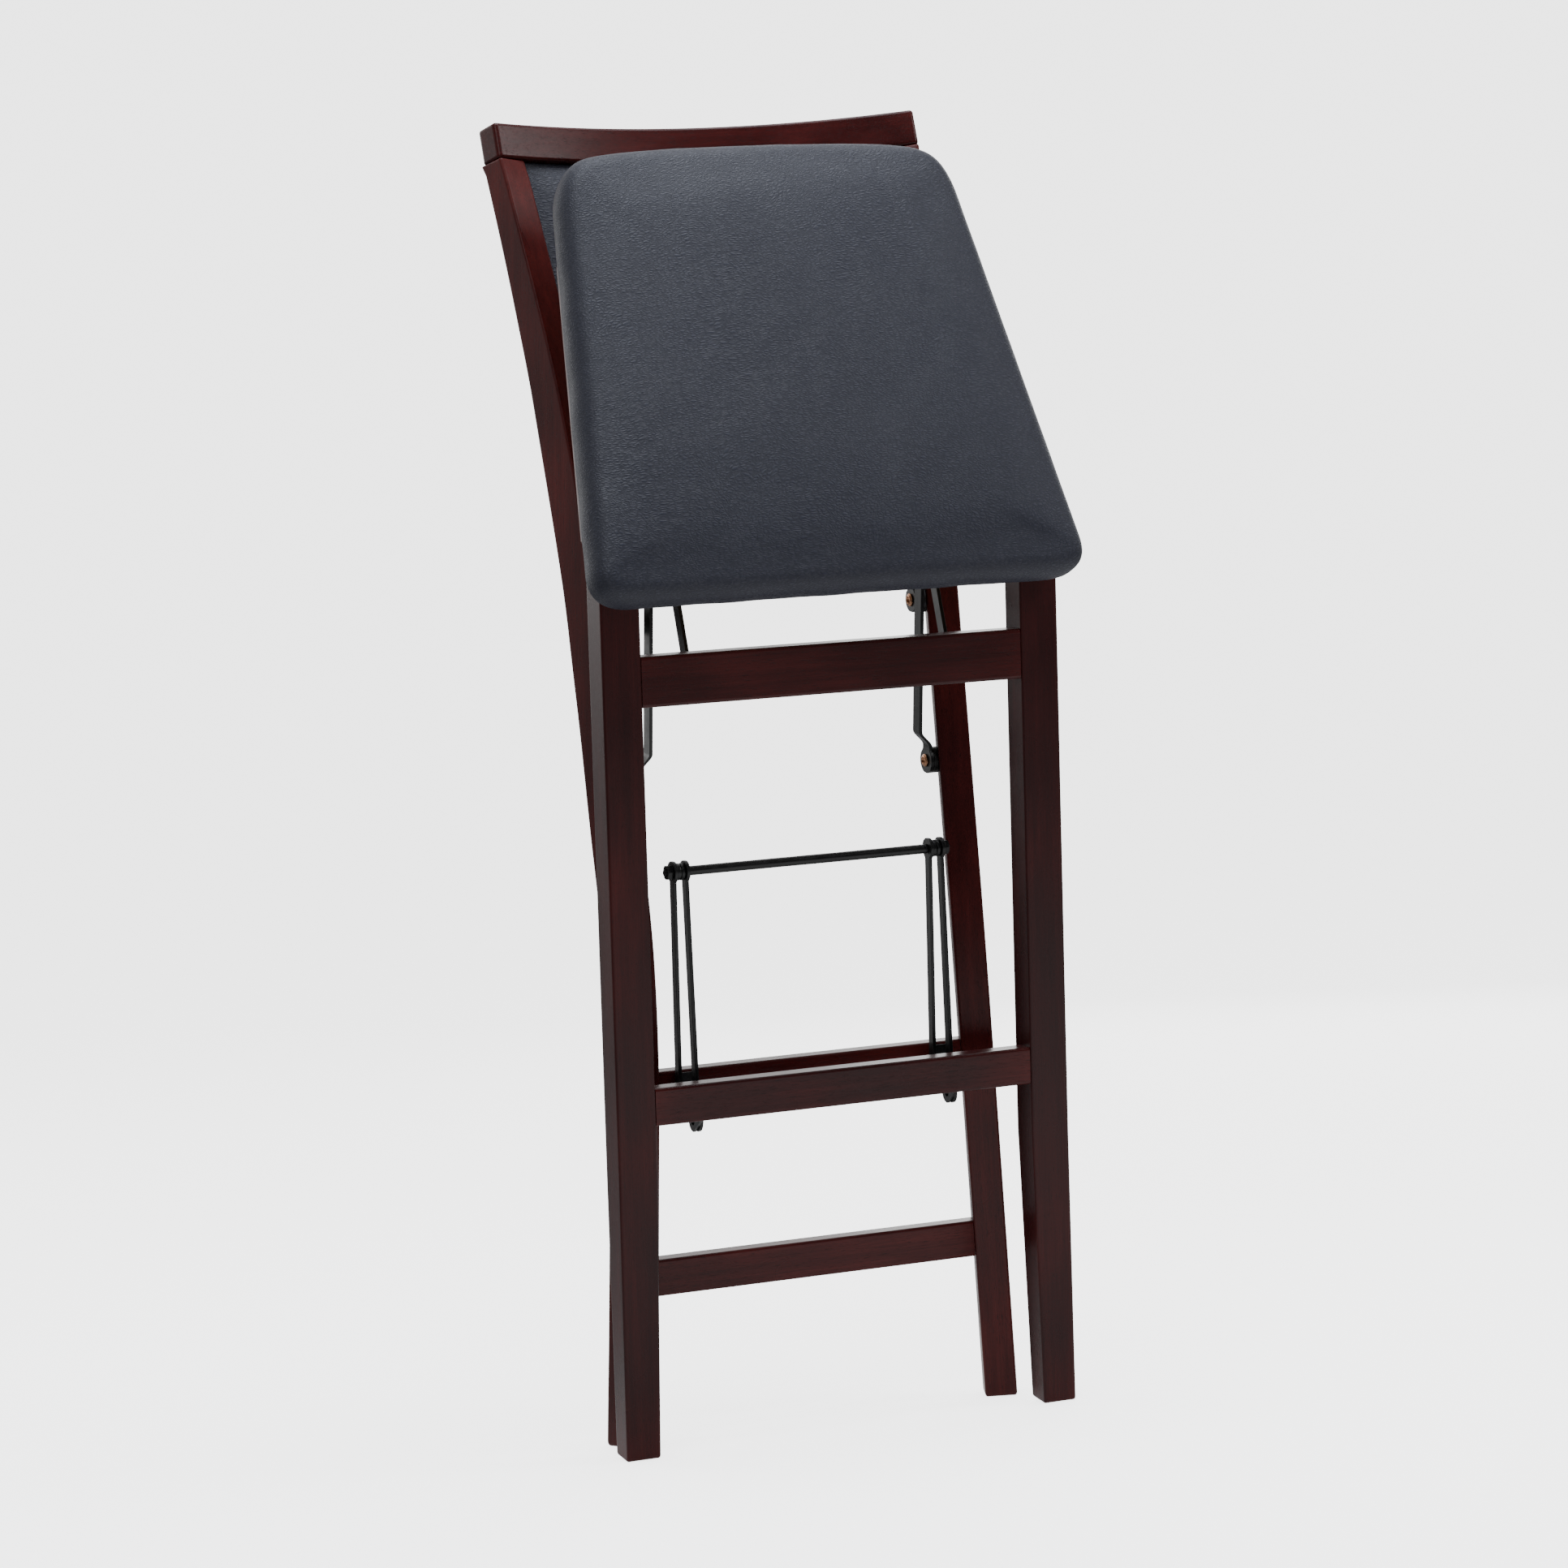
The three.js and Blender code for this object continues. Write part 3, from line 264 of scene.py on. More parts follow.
def mixed(tree, share, first, second, blend="MIX"):
    """Two colours, mixed or multiplied by a share."""
    node = tree.nodes.new("ShaderNodeMix")
    node.data_type = "RGBA"
    node.blend_type = blend
    for name, value in (("Factor_Float", share), ("A_Color", first), ("B_Color", second)):
        socket = next(s for s in node.inputs if s.identifier == name)
        feed(tree, socket, (*value, 1.0) if isinstance(value, tuple) else value)
    return next(s for s in node.outputs if s.identifier == "Result_Color")


def bumped(tree, shader, height, strength, distance):
    """Gives the shader's surface a relief of distance metres where height goes from 0 to 1."""
    node = tree.nodes.new("ShaderNodeBump")
    feed_inputs(tree, node, {"Height": height, "Strength": strength, "Distance": distance})
    feed(tree, shader.inputs["Normal"], node.outputs[0])


def stained_wood():
    """Espresso stain under satin lacquer. Fibres, streaks and pores run along the piece's own
    grain direction, which the attribute grain_place holds as its third part. A second attribute
    paints light into the colour: redder and lighter towards a board's ends as painted highlight, and over
    whole boards as painted light."""
    material, tree, shader = new_finish("stained_wood")
    place = own_attribute(tree, "grain_place")["Vector"]
    painted_light = own_attribute(tree, "painted_light")["Fac"]
    fibres = noise(tree, place, 1300.0, 4.0, 0.6, (1, 1, 0.02))
    streaks = noise(tree, place, 150.0, 3.0, 0.55, (1, 1, 0.035))
    clouds = noise(tree, place, 14.0, 2.0, 0.5, (1, 1, 0.5))
    pores = levels(tree, noise(tree, place, 1500.0, 2.0, 0.5, (1, 1, 0.09)), 0.60, 0.68)
    tone = weighed(tree, streaks, 0.36, clouds, 0.64)
    # Painted light: the tone is pushed redder and lighter where highlights and reflections fall.
    tone = sums(tree, "ADD", tone, sums(tree, "MULTIPLY", painted_light, 0.16))
    stain = ramp(tree, tone, [
        (0.30, (0.0115, 0.0017, 0.0018)),
        (0.50, (0.0240, 0.0031, 0.0032)),
        (0.66, (0.0420, 0.0052, 0.0050)),
        (0.85, (0.0720, 0.0094, 0.0084)),
    ])
    fibre_shade = levels(tree, fibres, 0.3, 0.7, 0.80, 1.20)
    shade = tree.nodes.new("ShaderNodeCombineColor")
    for socket in shade.inputs:
        feed(tree, socket, fibre_shade)
    colour = mixed(tree, 1.0, stain, shade.outputs[0], "MULTIPLY")
    colour = mixed(tree, sums(tree, "MULTIPLY", pores, 0.55), colour, (0.006, 0.002, 0.002))
    relief = sums(tree, "SUBTRACT", sums(tree, "MULTIPLY", fibres, 0.35), sums(tree, "MULTIPLY", pores, 0.6))
    bumped(tree, shader, relief, 0.35, 0.00012)
    feed_inputs(tree, shader, {
        "Base Color": colour, "Roughness": levels(tree, clouds, 0.3, 0.7, 0.24, 0.34),
        "Specular IOR Level": 0.16})
    return material


def seat_vinyl():
    """Slate-coloured vinyl with an embossed leather grain: cells about 1.5 by 4 mm with creases
    between them, whose direction drifts over the seat, on broader gentle swellings."""
    material, tree, shader = new_finish("seat_vinyl")
    place = object_place(tree)

    def warped(vector, scale, amount):
        """The vector, moved by up to amount metres in each direction by noise."""
        warp = tree.nodes.new("ShaderNodeTexNoise")
        feed_inputs(tree, warp, {"Vector": vector, "Scale": scale, "Detail": 2.0})
        shifted = tree.nodes.new("ShaderNodeVectorMath")
        shifted.operation = "MULTIPLY_ADD"
        for socket, value in zip(shifted.inputs, (warp.outputs["Color"], (amount,) * 3, vector)):
            feed(tree, socket, value)
        return shifted.outputs[0]

    drifted = warped(warped(place, 9.0, 0.050), 160.0, 0.0030)
    longer = scaled(tree, drifted, (0.34, 1.0, 1.0))
    cells = tree.nodes.new("ShaderNodeTexVoronoi")
    cells.feature = "DISTANCE_TO_EDGE"
    feed_inputs(tree, cells, {"Vector": longer, "Scale": 620.0})
    creases = levels(tree, cells.outputs["Distance"], 0.0, 0.36)
    swells = noise(tree, longer, 230.0, 2.0, 0.5)
    broad = noise(tree, place, 9.0, 2.0, 0.5)
    height = weighed(tree, creases, 0.8, swells, 0.6)
    # The colour is broad random tone, and darker in the grain's creases as painted shade.
    tone_and_crease_shade = weighed(tree, broad, 0.12, creases, 0.24)
    colour = ramp(tree, tone_and_crease_shade, [
        (0.09, (0.0088, 0.0098, 0.0182)),
        (0.35, (0.0132, 0.0148, 0.0275)),
    ])
    bumped(tree, shader, height, 1.0, 0.00024)
    feed_inputs(tree, shader, {
        "Base Color": colour, "Roughness": levels(tree, creases, 0.0, 1.0, 0.60, 0.46),
        "Specular IOR Level": 0.35})
    return material


def black_coat():
    """Black powder coat: a very fine orange-peel relief, with broad patches a little lighter and duller."""
    material, tree, shader = new_finish("black_coat")
    place = object_place(tree)
    peel = noise(tree, place, 1900.0, 2.0, 0.5)
    dust = noise(tree, place, 90.0, 3.0, 0.6)
    colour = ramp(tree, dust, [(0.3, (0.0022, 0.0022, 0.0024)), (0.75, (0.0050, 0.0050, 0.0054))])
    bumped(tree, shader, peel, 0.35, 0.00006)
    feed_inputs(tree, shader, {
        "Base Color": colour, "Roughness": levels(tree, dust, 0.3, 0.7, 0.30, 0.44),
        "Specular IOR Level": 0.25})
    return material


def copper_plate():
    """Coppered rivet metal with fine turned scratches and a browner tarnish in patches."""
    material, tree, shader = new_finish("copper_plate")
    place = object_place(tree)
    tarnish = noise(tree, place, 420.0, 3.0, 0.6)
    scratches = noise(tree, place, 2600.0, 2.0, 0.6, (0.2, 1, 1))
    colour = ramp(tree, tarnish, [(0.35, (0.20, 0.095, 0.052)), (0.65, (0.46, 0.25, 0.15))])
    bumped(tree, shader, scratches, 0.2, 0.00004)
    feed_inputs(tree, shader, {
        "Base Color": colour, "Roughness": levels(tree, scratches, 0.3, 0.7, 0.24, 0.42),
        "Metallic": 1.0})
    return material


def plywood():
    """Birch plywood: a pale veneer with long fibres on the faces."""
    material, tree, shader = new_finish("plywood")
    place = object_place(tree)
    fibres = noise(tree, place, 700.0, 4.0, 0.6, (0.03, 1, 1))
    figure = noise(tree, place, 45.0, 3.0, 0.5, (0.2, 1, 1))
    tone = weighed(tree, fibres, 0.4, figure, 0.6)
    colour = ramp(tree, tone, [(0.32, (0.30, 0.185, 0.095)), (0.68, (0.52, 0.365, 0.21))])
    bumped(tree, shader, fibres, 0.3, 0.0001)
    feed_inputs(tree, shader, {"Base Color": colour, "Roughness": 0.72})
    return material


WOOD = stained_wood()
VINYL = seat_vinyl()
BLACK = black_coat()
COPPER = copper_plate()
PLY = plywood()


# Meshes

def ring_quads(rings, count):
    """Quads between rings of count points each, closed round every ring."""
    ring = np.arange(rings - 1)[:, None] * count
    here = np.arange(count)[None, :]
    following = (here + 1) % count
    corners = [ring + here, ring + following, ring + count + following, ring + count + here]
    return np.stack(corners, axis=-1).reshape(-1, 4)


def grid_quads(rows, columns):
    """Quads of an open grid of rows by columns points."""
    start = (np.arange(rows - 1)[:, None] * columns + np.arange(columns - 1)[None, :]).ravel()
    return np.column_stack([start, start + 1, start + columns + 1, start + columns])


def ladder_quads(count):
    """Quads across a closed outline whose first and last halves lie opposite each other."""
    here = np.arange(count // 2 - 1)
    return np.column_stack([here, here + 1, count - 2 - here, count - 1 - here])


def in_scene(name, data):
    """A new object at the origin of the scene."""
    added = bpy.data.objects.new(name, data)
    bpy.context.scene.collection.objects.link(added)
    return added


def finished_piece(name, mesh, finish, body, stands_for, sharp):
    """A piece of one finish, smooth but for its edges, on its body and in place of CAD nodes."""
    mesh.shade_smooth()
    mesh.set_sharp_from_angle(angle=math.radians(sharp))
    mesh.materials.clear()
    mesh.materials.append(finish)
    piece = in_scene(name, mesh)
    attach(piece, body)
    if stands_for:
        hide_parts(*stands_for)
    return piece


def add_piece(
        name, points, faces, finish, body, stands_for=(), sharp=35.0, grain=None, painted_light=None):
    """A mesh piece at the origin, its doubles merged and its faces turned outward."""
    mesh = bpy.data.meshes.new(name)
    mesh.from_pydata(np.asarray(points).reshape(-1, 3).tolist(), [], [list(f) for f in faces])
    if grain is not None:
        attribute = mesh.attributes.new("grain_place", "FLOAT_VECTOR", "POINT")
        attribute.data.foreach_set("vector", np.asarray(grain, np.float32).ravel())
        attribute = mesh.attributes.new("painted_light", "FLOAT", "POINT")
        attribute.data.foreach_set("value", np.asarray(painted_light, np.float32).ravel())
    shell = bmesh.new()
    shell.from_mesh(mesh)
    bmesh.ops.remove_doubles(shell, verts=shell.verts, dist=2e-6)
    bmesh.ops.recalc_face_normals(shell, faces=shell.faces)
    shell.to_mesh(mesh)
    shell.free()
    return finished_piece(name, mesh, finish, body, stands_for, sharp)


def moved_in(outline, distance):
    """A closed outline, drawn anticlockwise, with every edge moved inward by distance."""
    edge = np.roll(outline, -1, axis=0) - outline
    edge /= np.linalg.norm(edge, axis=1, keepdims=True)
    inward = np.column_stack([-edge[:, 1], edge[:, 0]])
    before = np.roll(inward, 1, axis=0)
    mitre = (inward + before) / (1 + np.sum(inward * before, axis=1, keepdims=True))
    return outline + distance * mitre


def corner_arc(corner, toward, away, radius, steps=4):
    """A corner as an arc that touches both edges, with one point on each edge just beyond it."""
    support = 0.8
    corner = np.asarray(corner, float)
    one = np.asarray(toward, float) - corner
    two = np.asarray(away, float) - corner
    one /= np.linalg.norm(one)
    two /= np.linalg.norm(two)
    half = math.acos(np.clip(one @ two, -1, 1)) / 2
    reach = radius / math.tan(half)
    centre = corner + (one + two) / np.linalg.norm(one + two) * radius / math.sin(half)
    start = corner + one * reach - centre
    end = corner + two * reach - centre
    share = np.linspace(0, 1, steps + 1)[:, None]
    sweep = math.pi - 2 * half
    arc = (np.sin((1 - share) * sweep) * start + np.sin(share * sweep) * end) / math.sin(sweep)
    before = corner + one * (reach + support)
    after = corner + two * (reach + support)
    return np.vstack([before, centre + arc, after])


def rounded_corners(low, high, radius):
    """The four rounded corners of a rectangle, anticlockwise from its lowest corner."""
    corners = np.array([[low[0], low[1]], [high[0], low[1]], [high[0], high[1]], [low[0], high[1]]])
    return [corner_arc(corners[k], corners[k - 1], corners[(k + 1) % 4], radius) for k in range(4)]


def stepped_rings(outline, steps):
    """A closed outline over and over, moved inward by each step's inset and put at its height."""
    return np.array([
        np.column_stack([moved_in(outline, inset), np.full(len(outline), height)])
        for inset, height in steps
    ])


def board_rings(outline, thickness, radius):
    """Rounded board: ring k is the outline moved inward by radius (1 - sin a) at the height
    radius (1 - cos a), with a from 0 to a quarter turn, and the same again at the far face."""
    steps = 4
    support = 0.6
    angle = np.linspace(0, math.pi / 2, steps + 1)
    inset = np.concatenate([[radius + support], radius * (1 - np.sin(angle)), [0.0]])
    rise = np.concatenate([[0.0], radius * (1 - np.cos(angle)), [radius + support]])
    inset = np.concatenate([inset, inset[::-1]])
    rise = np.concatenate([rise, thickness - rise[::-1]])
    return stepped_rings(outline, zip(inset, rise))


def board_faces(rings):
    """The faces of board_rings: quads round the rims and ladders over the two flat faces."""
    count = rings.shape[1]
    ladder = ladder_quads(count)
    last = (rings.shape[0] - 1) * count
    return np.vstack([ring_quads(rings.shape[0], count), ladder, ladder + last])


def painted_end_light(along, low, high, all_over=0.0):
    """Painted highlight: redder, lighter wood towards both ends of a board, the square of 1 - distance
    over the reach. A board given painted light all over is at least all_over everywhere."""
    distance = np.minimum(along - low, high - along)
    return np.maximum(all_over, np.clip(1 - distance / PAINTED_LIGHT_REACH, 0, 1) ** 2)


def add_board(name, node, body, folded, grain, painted_light):
    """A wooden piece: rings of points in the folded frame, closed at both ends."""
    add_piece(
        name, to_row(folded), board_faces(folded), WOOD, body, [node], grain=grain, painted_light=painted_light)


# Front legs

def front_leg(side, sign):
    """A board whose outline in y and z has a tapered back edge and a round nose over the hinge.
    Below the taper's start the inner and outer faces move by their tapers times
    (taper height - z) / taper height."""
    edge_radius = 2.6
    top_radius = 3.0
    brow_length = 4.0
    leg_top = 740.0
    foot_depth = LEG_DEPTH - LEG_BACK_TAPER
    foot_flat = (FOOT_FLAT_Y, 0.0)
    top_back = HINGE_Z + (NOSE_RADIUS - (LEG_DEPTH - HINGE_Y) * math.cos(NOSE_OPEN)) / math.sin(NOSE_OPEN)
    top_front = HINGE_Z + (NOSE_RADIUS + HINGE_Y * math.cos(NOSE_FOLDED)) / math.sin(NOSE_FOLDED)
    heights = np.array([60.0, 140.0, 216.0, 230.0, 244.0, 300.0, 450.0, 600.0, 690.0])
    taper = np.clip((heights - TAPER_START) / (LEG_TAPER_HEIGHT - TAPER_START), 0, 1)
    back_y = foot_depth + LEG_BACK_TAPER * taper
    foot_back = corner_arc((foot_depth, FOOT_RISE), foot_flat, (back_y[0], heights[0]), edge_radius)
    nose_angle = np.linspace(NOSE_OPEN, NOSE_FOLDED, 9)
    nose = np.column_stack([
        HINGE_Y + NOSE_RADIUS * np.cos(nose_angle), HINGE_Z + NOSE_RADIUS * np.sin(nose_angle)])
    nose_start = (HINGE_Y + NOSE_RADIUS * math.cos(NOSE_OPEN), HINGE_Z + NOSE_RADIUS * math.sin(NOSE_OPEN))
    top_corner = corner_arc(
        (LEG_DEPTH, top_back), (LEG_DEPTH, heights[-1]), nose_start, top_radius, steps=8)
    # The brow is the one point at which the round under the nose meets the front edge.
    brow = corner_arc((0.0, top_front), nose[-1], (0.0, heights[-1]), edge_radius, steps=1)[2:3]
    nose_side = np.vstack([nose, brow, [[0.0, top_front - brow_length]]])
    front_side = np.column_stack([np.zeros(len(heights)), heights])[::-1]
    foot_front = corner_arc((0.0, 0.0), (0.0, heights[0]), foot_flat, edge_radius)
    outline = np.vstack([
        foot_back, np.column_stack([back_y, heights]), top_corner,
        nose_side, front_side, foot_front,
    ])
    rings = board_rings(outline, LEG_WIDTH, radius=1.9)
    y, z, out = np.moveaxis(rings, -1, 0)
    below = np.clip(LEG_TAPER_HEIGHT - z, 0, None) / LEG_TAPER_HEIGHT
    flare = LEG_INNER_TAPER + (LEG_OUTER_FLARE - LEG_INNER_TAPER) * out / LEG_WIDTH
    x = LEG_INNER_X + out + flare * below
    folded = np.stack([sign * x, y, z], axis=-1)
    grain = folded / MM + np.array([0.37 * sign, 0.11, 0.0])
    painted_light = painted_end_light(z, 0.0, leg_top)
    add_board(f"front_leg_wood_{side}", f"front_leg_{side}", "front_frame", folded, grain, painted_light)


# Rear legs

def station_value(table, at):
    """Smooth curve through a table's points: cubics whose slope at a point is that of the line
    between its two neighbours."""
    x, y = table.T
    before = np.concatenate([[0], np.arange(len(x) - 1)])
    after = np.concatenate([np.arange(1, len(x)), [len(x) - 1]])
    slope = (y[after] - y[before]) / (x[after] - x[before])
    k = np.clip(np.searchsorted(x, at, side="right") - 1, 0, len(x) - 2)
    run = x[k + 1] - x[k]
    f = (at - x[k]) / run
    return (
        (2 * f**3 - 3 * f**2 + 1) * y[k] + (f**3 - 2 * f**2 + f) * run * slope[k]
        + (3 * f**2 - 2 * f**3) * y[k + 1] + (f**3 - f**2) * run * slope[k + 1]
    )


POST_ALONG = np.array([math.sin(POST_TURN), math.cos(POST_TURN), 0.0])
POST_OUT = np.array([1.0, -math.tan(POST_TURN), POST_SPLAY])
POST_OUT /= np.linalg.norm(POST_OUT)
POST_UP = np.cross(POST_OUT, POST_ALONG)
POST_ORIGIN = np.array([POST_INNER_X, POST_FRONT_Y, 0.0])
CREST_UP = np.array([0.0, math.sin(CREST_RAKE), math.cos(CREST_RAKE)])
CREST_BACK = np.array([0.0, math.cos(CREST_RAKE), -math.sin(CREST_RAKE)])


def post_face(y, z):
    """Where a rear leg's inner face lies across the stool at a depth y and a height z."""
    return POST_INNER_X - POST_SPLAY * z + math.tan(POST_TURN) * (y - POST_FRONT_Y)


def post_height(normal, point, along, out):
    """The height along a rear leg at which it meets a plane."""
    reach = (point - POST_ORIGIN) @ normal
    return (reach - along * (normal @ POST_ALONG) - out * (normal @ POST_OUT)) / (normal @ POST_UP)


def post_edges(share):
    """A rear leg's front and back edges along and up its board, at shares of its height."""
    y = POST_FRONT_Y + POST_SWEEP * station_value(POST_FRONT_SHARES, share)
    z = share * POST_HEIGHT
    spot = np.stack([post_face(y, z), y, z], axis=-1) - POST_ORIGIN
    front = np.column_stack([spot @ POST_ALONG, spot @ POST_UP])
    depth = POST_DEPTH * station_value(POST_DEPTH_SHARES, share)
    return front, front + np.column_stack([depth, np.zeros(len(share))])


def rear_leg(side, sign):
    """A flat board turned about the upright: its front edge follows the sweep table, its back edge
    lies behind it by the depth table, and the ends follow the floor and the crest's underside."""
    foot_radius = 2.8
    top_radius = 2.6
    front, back = post_edges(np.linspace(0, 1, 61)[1:-1])
    front_end, back_end = post_edges(np.array([0.0, 1.0]))
    foot_back = corner_arc(back_end[0], front_end[0], back[0], foot_radius)
    top_back = corner_arc(back_end[1], back[-1], front_end[1], top_radius)
    top_front = corner_arc(front_end[1], back_end[1], front[-1], top_radius)
    foot_front = corner_arc(front_end[0], front[0], back_end[0], foot_radius)
    outline = np.vstack([foot_back, back, top_back, top_front, front[::-1], foot_front])
    rings = board_rings(outline, POST_THICKNESS, radius=2.0)
    along, up, out = np.moveaxis(rings, -1, 0)
    floor_normal = np.array([0.0, math.sin(LEAN), math.cos(LEAN)])
    crest_seat = CREST_FOOT - GAP * CREST_UP
    top = front_end[1, 1]
    at_foot = np.clip(1 - up / POST_END_REACH, 0, 1)
    at_top = np.clip(1 - (top - up) / POST_END_REACH, 0, 1)
    up = up + at_foot * post_height(floor_normal, np.zeros(3), along, out)
    up = up + at_top * (post_height(CREST_UP, crest_seat, along, out) - top)
    folded = (POST_ORIGIN + along[..., None] * POST_ALONG + up[..., None] * POST_UP
              + out[..., None] * POST_OUT)
    grain = np.stack([out, along, up], axis=-1) / MM + np.array([0.53 * sign, 0.29, 0.0])
    folded[..., 0] *= sign
    painted_light = painted_end_light(up, 0.0, top, REAR_PAINTED_LIGHT)
    add_board(f"rear_leg_wood_{side}", f"rear_leg_{side}", "rear_frame", folded, grain, painted_light)


# Rails across the stool

def leg_face(y, z):
    """The inner face of the front legs, as far from the middle as their straight part."""
    return np.full(y.shape, LEG_INNER_X)


def cross_rail(node, rail, reach, body, seed):
    """A rounded rectangle in y and z, carried along X between the faces that reach gives. The
    seed moves the wood's pattern, so that no two rails look alike."""
    low = np.array([rail["front"], rail["bottom"]])
    high = low + np.array([rail["depth"], rail["height"]])
    section = np.vstack(rounded_corners(low, high, radius=2.2))
    share = np.linspace(-1, 1, 21)
    y, z = section.T
    x = share[:, None] * (reach(y, z) - GAP)[None, :]
    folded = np.stack([x, np.broadcast_to(y, x.shape), np.broadcast_to(z, x.shape)], axis=-1)
    grain = folded[..., [1, 2, 0]] / MM + np.array([0.0, seed, 0.7 * seed])
    painted_light = painted_end_light(x, x.min(), x.max(), REAR_PAINTED_LIGHT if body == "rear_frame" else 0.0)
    add_board(f"{node}_wood", node, body, folded, grain, painted_light)


def crest_rail():
    """A bowed rail: two arcs about one centre, with rounded corners, carried up the crest's rake."""
    end_radius = 3.6
    centre_y = CREST_BOW - CREST_RADIUS
    half = math.asin(CREST_HALF / CREST_RADIUS)
    angle = np.linspace(-half, half, 49)[1:-1]
    outer = CREST_RADIUS + CREST_THICKNESS

    def at(r, a):
        """Points of an arc of radius r at the angles a."""
        return np.column_stack([r * np.sin(a), centre_y + r * np.cos(a)])

    ends = np.array([-half, half])
    near = at(CREST_RADIUS, angle)
    far = at(outer, angle)
    near_end = at(CREST_RADIUS, ends)
    far_end = at(outer, ends)
    outline = np.vstack([
        corner_arc(near_end[0], far_end[0], near[0], end_radius), near,
        corner_arc(near_end[1], near[-1], far_end[1], end_radius),
        corner_arc(far_end[1], near_end[1], far[-1], end_radius), far[::-1],
        corner_arc(far_end[0], far[0], near_end[0], end_radius),
    ])
    rings = board_rings(outline, CREST_HEIGHT, radius=2.6)
    x, back, rise = np.moveaxis(rings, -1, 0)
    folded = CREST_FOOT + back[..., None] * CREST_BACK + rise[..., None] * CREST_UP
    folded[..., 0] = x
    grain = np.stack([back, rise, x], axis=-1) / MM + np.array([0.9, 0.2, 0.0])
    painted_light = painted_end_light(x, -CREST_HALF, CREST_HALF, CREST_PAINTED_LIGHT)
    add_board("crest_rail_wood", "crest_rail", "rear_frame", folded, grain, painted_light)


def seat_rail(side, sign):
    """A straight rounded board under the seat board, leaning inward with the seat's taper."""
    low = np.array([RAIL_START, -BOARD_UNDERSIDE - GAP - RAIL_HEIGHT])
    high = np.array([RAIL_END, -BOARD_UNDERSIDE - GAP])
    arcs = rounded_corners(low, high, radius=2.4)
    outline = np.vstack([arcs[1], arcs[2], arcs[3], arcs[0]])
    rings = board_rings(outline, RAIL_THICKNESS, radius=1.6)
    s, t, out = np.moveaxis(rings, -1, 0)
    x = SEAT_FRONT_HALF - RAIL_INSET - RAIL_THICKNESS + out - SEAT_TAPER * s
    placed = from_seat(np.stack([sign * x, s, t], axis=-1))
    grain = np.stack([out, t, s], axis=-1) / MM + np.array([0.15 * sign, 0.6, 0.0])
    painted_light = painted_end_light(s, RAIL_START, RAIL_END)
    add_board(f"seat_rail_wood_{side}", f"seat_rail_{side}", "seat", placed, grain, painted_light)


# Seat

def seat_half_outline():
    """Half of the seat's edge, front middle to rear middle: straights joined by parabolic bends."""
    front_bend = 38.0
    side_bend = 32.0
    rear_bend = 55.0
    corner_drop = 16.5
    rear_drop = 8.0

    def side(run):
        """Half the seat's width at a run back from its front edge."""
        return SEAT_FRONT_HALF - SEAT_TAPER * run

    def bend(a, b, c, count):
        """(1 - f)^2 a + 2 f (1 - f) b + f^2 c, with f from 0 to 1."""
        f = np.linspace(0, 1, count)[:, None]
        return (1 - f) ** 2 * np.array(a) + 2 * f * (1 - f) * np.array(b) + f**2 * np.array(c)

    rear = SEAT_DEPTH
    front = (side(0) - front_bend, 0.0)
    side_start = (side(side_bend), side_bend)
    side_end = (side(rear - rear_bend), rear - rear_bend)
    middle = ((side_start[0] + side_end[0]) / 2, (side_start[1] + side_end[1]) / 2)
    corner = (side(rear - corner_drop), rear - corner_drop)
    rear_start = (146.0, rear - rear_drop)
    slope = (corner_drop - rear_drop) / (corner[0] - rear_start[0])
    return np.vstack([
        np.column_stack([np.linspace(0, front[0], 30)[:-1], np.zeros(29)]),
        bend(front, (side(0), 0), side_start, 24),
        bend(side_start, middle, side_end, 40)[1:-1],
        bend(side_end, corner, rear_start, 24),
        bend(rear_start, (rear_start[0] - rear_drop / slope, rear), (0.0, rear), 30)[1:],
    ])


def evenly(path, count):
    """count points at even steps along a path."""
    step = np.linalg.norm(np.diff(path, axis=0), axis=1)
    length = np.concatenate([[0], np.cumsum(step)])
    at = np.linspace(0, length[-1], count)
    return np.column_stack([np.interp(at, length, path[:, 0]), np.interp(at, length, path[:, 1])])


def seat_edge(count):
    """The whole edge, anticlockwise, as count points that begin at the middle of the front."""
    half = evenly(seat_half_outline(), count // 2 + 1)
    return np.vstack([half, half[-2:0:-1] * np.array([-1, 1])])


def square_patch(edge, side_count):
    """A patch inside a closed edge of 4 x side_count points, without a pole: each square ring of
    the grid follows the edge, scaled towards the middle by that ring's share."""
    n = side_count
    u, v = np.meshgrid(np.linspace(-1, 1, n + 1), np.linspace(-1, 1, n + 1))
    share = np.maximum(np.abs(u), np.abs(v))
    safe = np.where(share > 0, share, 1)
    a, b = u / safe, v / safe
    on_front = (b <= -1 + 1e-9)
    on_right = (a >= 1 - 1e-9) & ~on_front
    on_rear = (b >= 1 - 1e-9) & ~on_front & ~on_right
    along = np.where(on_front, (a + 1) / 2, 0)
    along = np.where(on_right, 1 + (b + 1) / 2, along)
    along = np.where(on_rear, 2 + (1 - a) / 2, along)
    on_left = ~(on_front | on_right | on_rear)
    along = np.where(on_left, 3 + (1 - b) / 2, along)
    place = along / 4 * len(edge)
    low = np.floor(place).astype(int)
    f = (place - low)[..., None]
    rim = edge[low % len(edge)] * (1 - f) + edge[(low + 1) % len(edge)] * f
    middle = edge.mean(axis=0)
    return middle + share[..., None] * (rim - middle)


